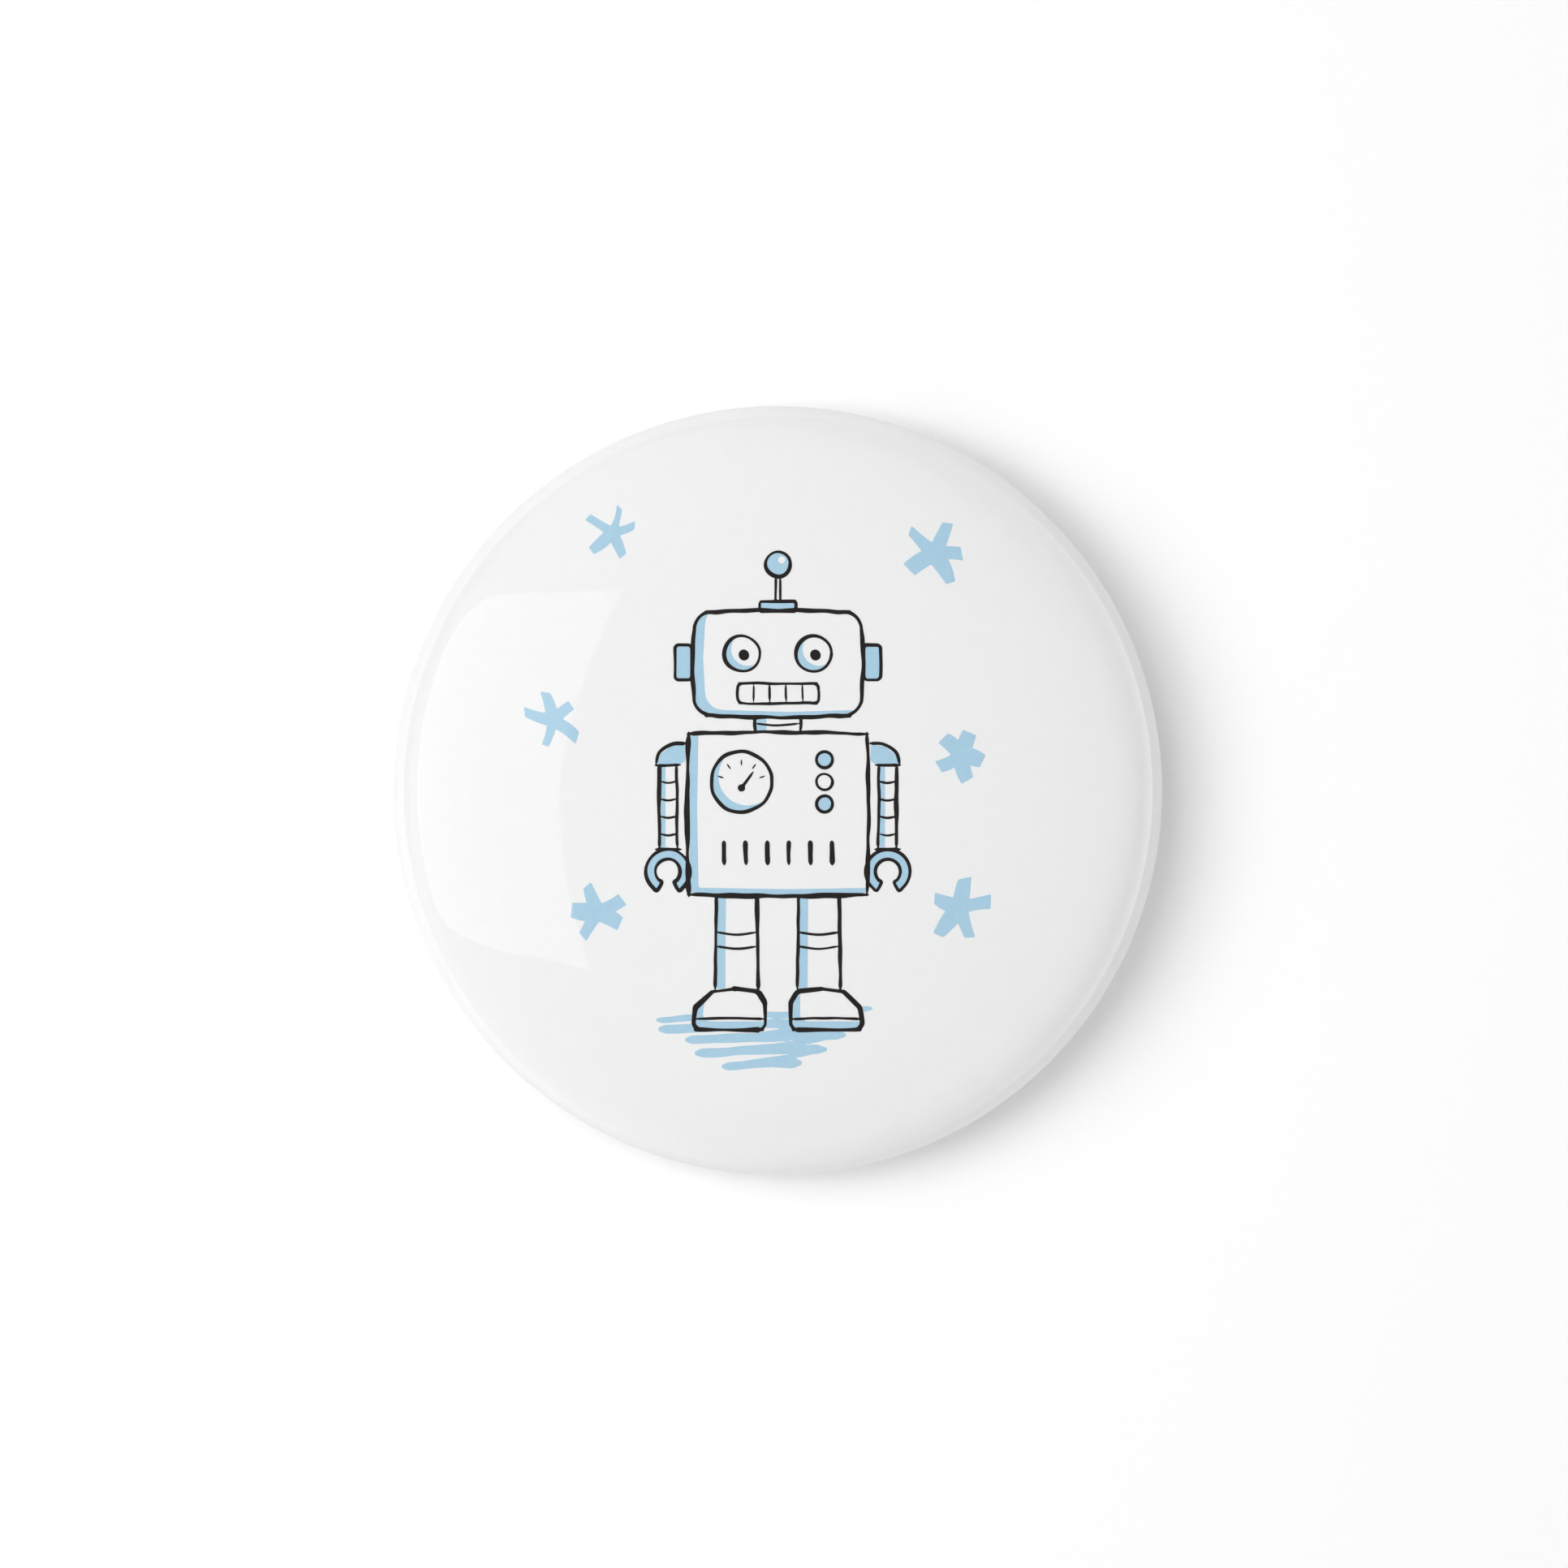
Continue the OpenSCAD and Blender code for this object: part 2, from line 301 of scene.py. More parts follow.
class Mat:
    """A node material, built a node at a time."""

    def __init__(self, name):
        self.m = bpy.data.materials.new(name)
        self.m.use_nodes = True
        self.nt = self.m.node_tree
        self.nt.nodes.clear()
        self.out = self.nt.nodes.new("ShaderNodeOutputMaterial")

    def node(self, kind, **props):
        n = self.nt.nodes.new(kind)
        for k, v in props.items():
            if k == "inputs":
                for key, val in v.items():
                    n.inputs[key].default_value = val
            else:
                setattr(n, k, v)
        return n

    def link(self, a, b):
        self.nt.links.new(a, b)

    def principled(self, **inputs):
        p = self.node("ShaderNodeBsdfPrincipled", inputs=inputs)
        self.link(p.outputs[0], self.out.inputs[0])
        return p

    def coords(self):
        return self.node("ShaderNodeTexCoord").outputs["Object"]

    def noise(self, scale, detail=3.0, rough=0.5, distortion=0.0, coords=None, stretch=None):
        n = self.node("ShaderNodeTexNoise", inputs={"Scale": scale, "Detail": detail, "Roughness": rough, "Distortion": distortion})
        src = coords or self.coords()
        if stretch:
            mp = self.node("ShaderNodeMapping")
            mp.inputs["Scale"].default_value = stretch
            self.link(src, mp.inputs["Vector"])
            src = mp.outputs[0]
        self.link(src, n.inputs["Vector"])
        return n.outputs["Fac"]

    def ramp(self, fac, stops):
        r = self.node("ShaderNodeValToRGB")
        while len(r.color_ramp.elements) > 1:
            r.color_ramp.elements.remove(r.color_ramp.elements[-1])
        for i, (pos, col) in enumerate(stops):
            e = r.color_ramp.elements[0] if i == 0 else r.color_ramp.elements.new(pos)
            e.position = pos
            e.color = col if len(col) == 4 else (*col, 1.0)
        self.link(fac, r.inputs["Fac"])
        return r.outputs["Color"]

    def spread(self, fac, lo, hi, f0=0.3, f1=0.7):
        m = self.node("ShaderNodeMapRange", inputs={"From Min": f0, "From Max": f1, "To Min": lo, "To Max": hi})
        self.link(fac, m.inputs["Value"])
        return m.outputs[0]

    def maths(self, op, a, b=None, c=None):
        m = self.node("ShaderNodeMath", operation=op)
        for i, v in enumerate((a, b, c)):
            if v is None:
                continue
            if isinstance(v, (int, float)):
                m.inputs[i].default_value = v
            else:
                self.link(v, m.inputs[i])
        return m.outputs[0]

    def bump(self, height, strength, distance, normal=None):
        b = self.node("ShaderNodeBump", inputs={"Strength": strength, "Distance": distance})
        self.link(height, b.inputs["Height"])
        if normal is not None:
            self.link(normal, b.inputs["Normal"])
        return b.outputs[0]


def set_material(ob, mat):
    ob.data.materials.clear()
    ob.data.materials.append(mat)


def film_material():
    k = Mat("clear_polyester")
    co = k.coords()
    clear = k.node("ShaderNodeBsdfTransparent")
    gloss = k.node("ShaderNodeBsdfAnisotropic")
    gloss.inputs["Color"].default_value = (1, 1, 1, 1)
    rough = k.spread(k.noise(260, 3, 0.55, coords=co), 0.022, 0.042)
    k.link(rough, gloss.inputs["Roughness"])
    # the film is drawn tight, but keeps a very slight waviness
    wave = k.bump(k.noise(70, 2, 0.4, coords=co), 0.02, 0.0003)
    k.link(wave, gloss.inputs["Normal"])
    fr = k.node("ShaderNodeFresnel")
    fr.inputs["IOR"].default_value = 1.52
    k.link(wave, fr.inputs["Normal"])
    geo = k.node("ShaderNodeNewGeometry")
    front = k.maths("SUBTRACT", 1.0, geo.outputs["Backfacing"])
    share = k.maths("MULTIPLY", fr.outputs[0], front)
    mix = k.node("ShaderNodeMixShader")
    k.link(share, mix.inputs[0])
    k.link(clear.outputs[0], mix.inputs[1])
    k.link(gloss.outputs[0], mix.inputs[2])
    k.link(mix.outputs[0], k.out.inputs[0])
    return k.m


def paper_material():
    k = Mat("printed_paper_stock")
    co = k.coords()
    p = k.principled(**{"Roughness": 0.5, "Coat Weight": 0.15, "Coat Roughness": 0.2, "IOR": 1.45})
    cloud = k.noise(900, 5, 0.6, coords=co)
    fibre = k.noise(5200, 3, 0.65, coords=co, stretch=(1.0, 0.45, 1.0))
    both = k.maths("ADD", k.maths("MULTIPLY", cloud, 0.5), k.maths("MULTIPLY", fibre, 0.5))
    tone = k.ramp(both, [(0.3, (0.824, 0.826, 0.827)), (0.7, (0.850, 0.850, 0.850))])
    # painted shade: the paper's colour is made a little darker over the last 0.3 mm of radius, where the sheet turns
    # down over the edge, to darken the rolled rim
    xyz = k.node("ShaderNodeSeparateXYZ")
    k.link(co, xyz.inputs[0])
    rad = k.maths("SQRT", k.maths("ADD", k.maths("MULTIPLY", xyz.outputs[0], xyz.outputs[0]), k.maths("MULTIPLY", xyz.outputs[1], xyz.outputs[1])))
    # painted shade on the rolled rim: base colour scaled from 1.0 down to 0.96 between radius 28.7 and 29.0 mm
    painted_rim_shade = k.spread(rad, 1.0, 0.96, 0.0287, 0.0290)
    shade_mix = k.node("ShaderNodeMix", data_type="RGBA", blend_type="MULTIPLY")
    shade_mix.inputs[0].default_value = 1.0
    k.link(tone, shade_mix.inputs[6])
    k.link(painted_rim_shade, shade_mix.inputs[7])
    k.link(shade_mix.outputs[2], p.inputs["Base Color"])
    k.link(k.spread(both, 0.42, 0.58), p.inputs["Roughness"])
    k.link(k.bump(fibre, 0.12, 0.00002), p.inputs["Normal"])
    return k.m


def ink_material(name, dark, light, rough):
    """Printed ink: an even film with the faint mottle of a solid printed on paper."""
    k = Mat(name)
    co = k.coords()
    p = k.principled(**{"Roughness": rough, "Specular IOR Level": 0.22, "IOR": 1.45})
    mottle = k.noise(2600, 4, 0.6, coords=co)
    k.link(k.ramp(mottle, [(0.3, dark), (0.7, light)]), p.inputs["Base Color"])
    k.link(k.spread(mottle, rough - 0.06, rough + 0.06), p.inputs["Roughness"])
    k.link(k.bump(mottle, 0.08, 0.00001), p.inputs["Normal"])
    return k.m


def plastic_material():
    k = Mat("moulded_white_plastic")
    co = k.coords()
    p = k.principled(**{"Roughness": 0.4, "IOR": 1.49, "Specular IOR Level": 0.5})
    cloud = k.noise(160, 4, 0.55, coords=co)
    flow = k.noise(420, 3, 0.6, 1.2, coords=co, stretch=(1.0, 0.35, 1.0))
    grain = k.noise(6500, 2, 0.5, coords=co)
    mixd = k.maths("ADD", k.maths("MULTIPLY", cloud, 0.6), k.maths("MULTIPLY", flow, 0.4))
    k.link(k.ramp(mixd, [(0.3, (0.80, 0.80, 0.775)), (0.72, (0.845, 0.845, 0.83))]), p.inputs["Base Color"])
    k.link(k.spread(mixd, 0.34, 0.5), p.inputs["Roughness"])
    k.link(k.bump(grain, 0.22, 0.00003, k.bump(flow, 0.05, 0.0001)), p.inputs["Normal"])
    return k.m


def metal_material(name, dark, light, rough, scratch=(1.0, 12.0, 12.0), bump=0.12):
    """Nickel plate over pressed steel: drawn scratches, faint stain, and roughness that wanders."""
    k = Mat(name)
    co = k.coords()
    p = k.principled(**{"Metallic": 1.0, "Roughness": rough, "IOR": 1.5})
    stain = k.noise(330, 4, 0.6, coords=co)
    lines = k.noise(1700, 4, 0.7, coords=co, stretch=scratch)
    pits = k.noise(4200, 2, 0.5, coords=co)
    mixd = k.maths("ADD", k.maths("MULTIPLY", stain, 0.65), k.maths("MULTIPLY", lines, 0.35))
    k.link(k.ramp(mixd, [(0.28, dark), (0.52, light), (0.8, tuple(min(1.0, c * 1.05) for c in light))]), p.inputs["Base Color"])
    k.link(k.spread(mixd, rough - 0.07, rough + 0.1), p.inputs["Roughness"])
    k.link(k.bump(lines, bump, 0.00003, k.bump(pits, 0.08, 0.00002)), p.inputs["Normal"])
    return k.m


FILM = film_material()
PAPER = paper_material()
BLACK = ink_material("black_ink", (0.0050, 0.0034, 0.0030), (0.0085, 0.0058, 0.0050), 0.48)
BLUE = ink_material("light_blue_ink", (0.375, 0.575, 0.715), (0.405, 0.61, 0.745), 0.45)
PLASTIC = plastic_material()
NICKEL = metal_material("nickel_plate", (0.52, 0.51, 0.49), (0.70, 0.69, 0.665), 0.26)
WIRE = metal_material("nickel_wire", (0.56, 0.56, 0.55), (0.76, 0.755, 0.74), 0.17, scratch=(1.0, 9.0, 9.0), bump=0.08)
RIVET = metal_material("rivet_nickel", (0.46, 0.45, 0.43), (0.64, 0.63, 0.61), 0.3, scratch=(1.0, 1.0, 1.0))
TIN = metal_material("tinplate", (0.50, 0.50, 0.50), (0.66, 0.665, 0.67), 0.34, scratch=(1.0, 8.0, 1.0))

# ----------------------------------------------------------------------------------------------
# Film and paper, with the small pleats they take where they turn in behind the rim
# ----------------------------------------------------------------------------------------------
rng = np.random.default_rng(58)
PLEATS = []
for i in range(54):
    PLEATS.append(((i + rng.uniform(-0.38, 0.38)) * 2 * math.pi / 54, rng.uniform(0.015, 0.031), rng.uniform(0.35, 1.0), rng.uniform(0.2, 0.42)))


def pleat(angle, wrap):
    """Outward lift of the wrapped film and paper, in mm, at an angle round the badge and a place round the curl."""
    if wrap <= 0.2:
        return 0.0
    s = 0.0
    for a0, wide, tall, start in PLEATS:
        d = (angle - a0 + math.pi) % (2 * math.pi) - math.pi
        if abs(d) < 4 * wide:
            rise = min(1.0, max(0.0, (wrap - start) / 0.33))
            s += tall * math.exp(-0.5 * (d / wide) ** 2) * rise * rise * (3 - 2 * rise)
    return min(s, 1.15) * (0.06 + 0.11 * max(0.0, math.sin(math.pi * min(1.0, (wrap - 0.2) / 0.75))) ** 1.3)


N_ROUND = 360
PLEAT_TABLE = {}


def layer(name, d0, d1, n=N_ROUND):
    outer = face_line()
    inner = face_line(n_crown=14, n_roll=12)
    loop, info = [], []
    for r, z, nr, nz, w in outer:
        loop.append((r - d0 * nr, z - d0 * nz))
        info.append((nr, nz, w))
    for r, z, nr, nz, w in reversed(inner):
        loop.append((max(0.0, r - d1 * nr), z - d1 * nz))
        info.append((nr, nz, w))

    def move(r, z, a, k):
        nr, nz, w = info[k]
        if w <= 0.2:
            return r, z
        key = (round(a, 6), round(w, 6))
        if key not in PLEAT_TABLE:
            PLEAT_TABLE[key] = pleat(a, w)
        p = PLEAT_TABLE[key]
        return r + nr * p, z + nz * p

    return lathe(name, loop, n, move)


film = layer("clear_film_wrap", 0.0, FILM_T)
set_material(film, FILM)
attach(film, "root")
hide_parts("clear_film")

paper = layer("printed_paper_wrap", PAPER_IN, PAPER_IN + PAPER_T)
set_material(paper, PAPER)
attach(paper, "root")
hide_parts("printed_paper")


# ----------------------------------------------------------------------------------------------
# Artwork: a plain toy robot, stars and a patch of floor, as drawn ink. Millimetres, +Y up.
# ----------------------------------------------------------------------------------------------
class Ink:
    """Distance field of everything drawn in one colour; its outline becomes a thin printed layer."""

    def __init__(self, step, x0=-20.0, x1=20.0, y0=-23.0, y1=24.0):
        self.step = step
        self.x = np.arange(x0, x1 + step / 2, step)
        self.y = np.arange(y0, y1 + step / 2, step)
        self.d = np.full((len(self.y), len(self.x)), 1.0)

    def window(self, lo, hi, pad):
        i0 = max(0, int((lo[0] - pad - self.x[0]) / self.step))
        i1 = min(len(self.x), int((hi[0] + pad - self.x[0]) / self.step) + 2)
        j0 = max(0, int((lo[1] - pad - self.y[0]) / self.step))
        j1 = min(len(self.y), int((hi[1] + pad - self.y[0]) / self.step) + 2)
        return i0, i1, j0, j1

    def segment(self, a, b, ra, rb):
        r = max(ra, rb)
        i0, i1, j0, j1 = self.window((min(a[0], b[0]), min(a[1], b[1])), (max(a[0], b[0]), max(a[1], b[1])), r + 3 * self.step)
        gx, gy = np.meshgrid(self.x[i0:i1], self.y[j0:j1])
        dx, dy = b[0] - a[0], b[1] - a[1]
        l2 = dx * dx + dy * dy
        t = np.zeros_like(gx) if l2 < 1e-12 else np.clip(((gx - a[0]) * dx + (gy - a[1]) * dy) / l2, 0, 1)
        dist = np.hypot(gx - a[0] - t * dx, gy - a[1] - t * dy) - (ra + (rb - ra) * t)
        self.d[j0:j1, i0:i1] = np.minimum(self.d[j0:j1, i0:i1], dist)

    def line(self, pts, radii):
        for i in range(len(pts) - 1):
            self.segment(pts[i], pts[i + 1], radii[i], radii[i + 1])

    def area(self, pts, cut=False, grow=0.0):
        """A filled outline, or one cut away."""
        p = np.array(pts)
        i0, i1, j0, j1 = self.window(p.min(0), p.max(0), 4 * self.step + abs(grow))
        gx, gy = np.meshgrid(self.x[i0:i1], self.y[j0:j1])
        dist = np.full(gx.shape, 1e9)
        inside = np.zeros(gx.shape, bool)
        n = len(p)
        for k in range(n):
            a, b = p[k], p[(k + 1) % n]
            dx, dy = b - a
            l2 = dx * dx + dy * dy
            if l2 < 1e-12:
                continue
            t = np.clip(((gx - a[0]) * dx + (gy - a[1]) * dy) / l2, 0, 1)
            dist = np.minimum(dist, np.hypot(gx - a[0] - t * dx, gy - a[1] - t * dy))
            if abs(dy) > 1e-12:
                crosses = ((a[1] > gy) != (b[1] > gy)) & (gx < dx * (gy - a[1]) / dy + a[0])
                inside ^= crosses
        sd = np.where(inside, -dist, dist) - grow
        part = self.d[j0:j1, i0:i1]
        self.d[j0:j1, i0:i1] = np.maximum(part, -sd) if cut else np.minimum(part, sd)

    def mesh(self, name, top, bottom):
        """The drawn area as a thin closed layer that follows the face, between two depths under the film."""
        d, xs, ys, h = self.d, self.x, self.y, self.step
        verts, index, cells = [], {}, []

        def grid(i, j):
            key = (i, j)
            if key not in index:
                index[key] = len(verts)
                verts.append((xs[i], ys[j]))
            return index[key]

        def cut(i, j, i2, j2):
            if (i2, j2) < (i, j):
                i, j, i2, j2 = i2, j2, i, j
            key = (i, j, i2, j2)
            if key not in index:
                a, b = d[j, i], d[j2, i2]
                t = min(0.985, max(0.015, a / (a - b)))
                index[key] = len(verts)
                verts.append((xs[i] + (xs[i2] - xs[i]) * t, ys[j] + (ys[j2] - ys[j]) * t))
            return index[key]

        ins = d < 0
        any_in = ins[:-1, :-1] | ins[1:, :-1] | ins[:-1, 1:] | ins[1:, 1:]
        for j, i in zip(*np.nonzero(any_in)):
            i, j = int(i), int(j)
            ring = [(i, j), (i + 1, j), (i + 1, j + 1), (i, j + 1)]
            state = [bool(ins[b, a]) for a, b in ring]
            if all(state):
                cells.append([grid(*c) for c in ring])
                continue
            if state in ([True, False, True, False], [False, True, False, True]):
                # two corners only: keep them apart
                for k in range(4):
                    if state[k]:
                        p, c, q = ring[k - 1], ring[k], ring[(k + 1) % 4]
                        cells.append([cut(*p, *c), grid(*c), cut(*c, *q)])
                continue
            poly = []
            for k in range(4):
                c, q = ring[k], ring[(k + 1) % 4]
                if state[k]:
                    poly.append(grid(*c))
                if state[k] != state[(k + 1) % 4]:
                    poly.append(cut(*c, *q))
            if len(poly) > 2:
                cells.append(poly)
        p = np.array(verts)
        r = np.hypot(p[:, 0], p[:, 1])
        zt, zb = face_z(r, top), face_z(r, bottom)
        n = len(verts)
        out = [(x, y, z) for (x, y), z in zip(verts, zt)] + [(x, y, z) for (x, y), z in zip(verts, zb)]
        faces = list(cells) + [[v + n for v in reversed(c)] for c in cells]
        seen = {}
        for c in cells:
            for k in range(len(c)):
                a, b = c[k], c[(k + 1) % len(c)]
                if (b, a) in seen:
                    del seen[(b, a)]
                else:
                    seen[(a, b)] = True
        for a, b in seen:
            faces.append([b, a, a + n, b + n])
        me = bpy.data.meshes.new(name)
        me.from_pydata([(x * MM, y * MM, z * MM) for x, y, z in out], [], faces)
        me.update()
        me.polygons.foreach_set("use_smooth", [True] * len(me.polygons))
        me.set_sharp_from_angle(angle=math.radians(40))
        ob = bpy.data.objects.new(name, me)
        SCENE.collection.objects.link(ob)
        return ob


def smooth_path(pts, closed=False, step=0.12):
    """Points along a smooth curve through pts."""
    p = [np.array(q, float) for q in pts]
    n = len(p)
    out = []
    spans = n if closed else n - 1
    for i in range(spans):
        p1, p2 = p[i], p[(i + 1) % n]
        p0 = p[i - 1] if (closed or i > 0) else 2 * p1 - p2
        p3 = p[(i + 2) % n] if (closed or i + 2 < n) else 2 * p2 - p1
        m = max(2, int(np.linalg.norm(p2 - p1) / step))
        for k in range(m):
            t = k / m
            out.append(0.5 * ((2 * p1) + (-p0 + p2) * t + (2 * p0 - 5 * p1 + 4 * p2 - p3) * t * t + (-p0 + 3 * p1 - 3 * p2 + p3) * t ** 3))
    out.append(p[0] if closed else p[-1])
    return np.array(out)


def wander(n, seed, length, amount, period=3.2):
    """A slow wobble along a line n points long, such as a hand gives it."""
    g = np.random.default_rng(seed)
    t = np.linspace(0, 1, n)
    s = np.zeros(n)
    for k in range(1, 4):
        s += g.uniform(-1, 1) * np.sin(2 * math.pi * (t * length / period * k * 0.7 + g.uniform(0, 1))) / k
    return s * amount


def pen(ink, pts, w=0.27, seed=0, closed=False, taper=(0.25, 0.35), wob=0.045, smooth=True, swell=0.22):
    """One pen stroke of about width w: it wobbles, swells and runs out at its ends."""
    if smooth:
        q = smooth_path(pts, closed)
    else:
        q = []
        for a, b in zip(pts[:-1], pts[1:]):
            a, b = np.array(a, float), np.array(b, float)
            m = max(2, int(np.linalg.norm(b - a) / 0.12))
            q += [a + (b - a) * k / m for k in range(m)]
        q = np.array(q + [np.array(pts[-1], float)])
    seg = np.linalg.norm(np.diff(q, axis=0), axis=1)
    s = np.concatenate([[0], np.cumsum(seg)])
    length = s[-1]
    tang = np.gradient(q, axis=0)
    tang /= np.maximum(np.linalg.norm(tang, axis=1, keepdims=True), 1e-9)
    nor = np.stack([-tang[:, 1], tang[:, 0]], 1)
    w1 = wander(len(q), seed * 7 + 1, length, wob)
    if closed:
        fade = np.minimum(1, np.minimum(s, length - s) / 0.6)
        w1 = w1 * fade
    q = q + nor * w1[:, None]
    r = 0.5 * w * (1 + wander(len(q), seed * 7 + 2, length, swell, 4.5))
    if not closed:
        r = r * np.clip(0.35 + 0.65 * s / max(taper[0], 1e-6), 0, 1) * np.clip(0.3 + 0.7 * (length - s) / max(taper[1], 1e-6), 0, 1)
    ink.line(q, r)


def round_box(cx, cy, hx, hy, r, n=5, lean=0.0, bow=0.0):
    """Outline of a box with round corners, a little bowed and leaning as if drawn by hand."""
    pts = []
    for sx, sy, a0 in ((1, 1, 0), (-1, 1, 90), (-1, -1, 180), (1, -1, 270)):
        x, y = cx + sx * (hx - r), cy + sy * (hy - r)
        pts += arc_pts(x, y, r, a0, a0 + 90, n)
        # a point half way along the next side, pushed out by the bow
        nx, ny = {0: (0, 1), 90: (-1, 0), 180: (0, -1), 270: (1, 0)}[a0]
        pts.append((cx + nx * (hx + bow), cy + ny * (hy + bow)))
    return [(x + lean * (y - cy), y) for x, y in pts]


black = Ink(0.055)
blue = Ink(0.085)


def hatch_star(cx, cy, size, turn, seed, fat=1.0):
    """A loose star of five flat brush dabs from its middle, each with its own length, lean and width, and a blunt end."""
    g = np.random.default_rng(seed)
    for k in range(5):
        a = math.radians(turn + 72 * k + g.uniform(-11, 11))
        c, s = math.cos(a), math.sin(a)
        ln = size * g.uniform(0.88, 1.16)
        base, tip = fat * size * g.uniform(0.19, 0.25), fat * size * g.uniform(0.12, 0.235)
        lean, slant, lump = size * g.uniform(-0.09, 0.09), size * g.uniform(-0.08, 0.08), g.uniform(-0.05, 0.05)
        left, right = [], []
        for t in (-0.12, 0.2, 0.45, 0.7, 0.88, 1.0):
            w = base + (tip - base) * max(0.0, t) + size * lump * math.sin(math.pi * max(0.0, t))
            side = lean * math.sin(math.pi * max(0.0, t) * 0.8)
            cut = slant if t == 1.0 else 0.0
            left.append((t * ln + cut, side + w))
            right.append((t * ln - cut, side - w * (1 + 1.5 * lump)))
        blue.area([(cx + u * c - v * s, cy + u * s + v * c) for u, v in left + right[::-1]], grow=0.05)


for i, (x, y, size, turn, fat) in enumerate([(-12.3, 19.2, 1.85, 84, 0.82), (11.6, 17.6, 2.15, 72, 1.12), (-16.7, 5.2, 1.9, 100, 0.95),
                                             (13.6, 2.6, 1.80, 62, 1.22), (-13.4, -9.0, 1.85, 106, 1.25), (13.5, -8.7, 2.2, 78, 1.12)]):
    hatch_star(x, y, size, turn, 11 + i, fat)


def brush(pts, w, seed, ends=(0.55, 0.5)):
    """A flat brush stroke in blue."""
    q = smooth_path(pts)
    s = np.linspace(0, 1, len(q))
    length = float(np.linalg.norm(np.diff(q, axis=0), axis=1).sum())
    r = 0.5 * w * (1 + wander(len(q), seed, length, 0.13, 5))
    r = r * np.clip(ends[0] + s * length / 0.9, 0, 1) * np.clip(ends[1] + (1 - s) * length / 1.1, 0, 1)
    q[:, 1] += wander(len(q), seed + 40, length, 0.06, 6)
    blue.line(q, r)


# patch of floor: one long stroke behind the feet, then a scribble that turns back on itself
brush([(-8.9, -17.0), (-4.0, -16.7), (1.5, -16.55), (6.9, -16.2)], 0.5, 60)
rows = [((-8.7, -17.75), (5.9, -17.15)), ((-6.7, -18.55), (4.9, -18.15)), ((-6.0, -19.5), (3.5, -19.2)), ((-4.0, -20.45), (1.6, -20.25))]
for i, (l, r) in enumerate(rows):
    m1 = (l[0] * 0.62 + r[0] * 0.38, l[1] * 0.6 + r[1] * 0.4 + 0.06)
    m2 = (l[0] * 0.3 + r[0] * 0.7, l[1] * 0.3 + r[1] * 0.7 + 0.05)
    brush([l, m1, m2, r], 0.66, 61 + i)
    if i < 3:
        n = rows[i + 1][0]
        brush([(r[0] - 0.1, r[1]), (r[0] * 0.72 + n[0] * 0.28, r[1] * 0.66 + n[1] * 0.34), (r[0] * 0.4 + n[0] * 0.6, r[1] * 0.3 + n[1] * 0.7), (n[0] + 0.3, n[1])], 0.34, 71 + i, (0.5, 0.2))

# --- the robot ---------------------------------------------------------------------------------


def four_sides(cx, cy, hx, hy, w, seed, over=0.12, bow=0.12):
    """A box of four pen strokes which just miss or cross one another at the corners, the left and lower ones heavier."""
    c = [(cx - hx, cy + hy), (cx + hx, cy + hy), (cx + hx, cy - hy), (cx - hx, cy - hy)]
    out = [(0, 1), (1, 0), (0, -1), (-1, 0)]
    for k in range(4):
        a, b = c[k], c[(k + 1) % 4]
        n = out[k]
        dx, dy = (b[0] - a[0]), (b[1] - a[1])
        ln = math.hypot(dx, dy)
        ux, uy = dx / ln, dy / ln
        pts = [(a[0] - ux * over, a[1] - uy * over)]
        for t, f in ((0.25, 0.8), (0.5, 1.0), (0.75, 0.75)):
            pts.append((a[0] + dx * t + n[0] * bow * f, a[1] + dy * t + n[1] * bow * f))
        pts.append((b[0] + ux * over, b[1] + uy * over))
        pen(black, pts, w * (1.22 if k in (2, 3) else 1.0), seed + k, wob=0.035, swell=0.3, taper=(0.5, 0.7))


HEAD = round_box(0.0, 9.4, 6.2, 3.85, 1.35, bow=0.14)
BX0, BY0, BHX, BHY = 0.0, -1.75, 6.6, 5.95
BODY = round_box(BX0, BY0, BHX, BHY, 0.15, bow=0.10)


def shade(shape, dx, dy, grow=-0.1):
    """Blue along one side of a shape: all of it but what the same shape covers when it is moved."""
    part = Ink(0.085)
    part.area(shape, grow=grow)
    part.area([(x + dx, y + dy) for x, y in shape], cut=True)
    blue.d = np.minimum(blue.d, part.d)


shade(HEAD, 0.8, 0.42)
shade(BODY, 0.72, 0.5)
pen(black, HEAD, 0.30, 3, closed=True, wob=0.055, swell=0.3)
four_sides(BX0, BY0, BHX, BHY, 0.29, 4)
# eyes
for k, sx in enumerate((-1, 1)):
    pen(black, circle_pts(sx * 2.65, 10.15, 1.32, 20), 0.25, 20 + k, closed=True, wob=0.04, swell=0.3)
    black.line([(sx * 2.65 + 0.12, 10.08), (sx * 2.65 + 0.15, 10.02)], [0.38, 0.38])
    shade(circle_pts(sx * 2.65, 10.15, 1.24, 40), 0.42, 0.34, 0.0)
# grille of a mouth
MOUTH = round_box(0.0, 7.2, 3.0, 0.72, 0.35, bow=0.03)
pen(black, MOUTH, 0.21, 31, closed=True, wob=0.035)
for k, x in enumerate((-1.8, -0.62, 0.6, 1.82)):
    pen(black, [(x, 7.88), (x + 0.02, 6.55)], 0.16, 32 + k, wob=0.02)
# side knobs
for k, sx in enumerate((-1, 1)):
    knob = round_box(sx * 7.0, 9.5, 0.62, 1.3, 0.3)
    blue.area(knob, grow=-0.06)
    pen(black, knob, 0.24, 40 + k, closed=True, wob=0.025)
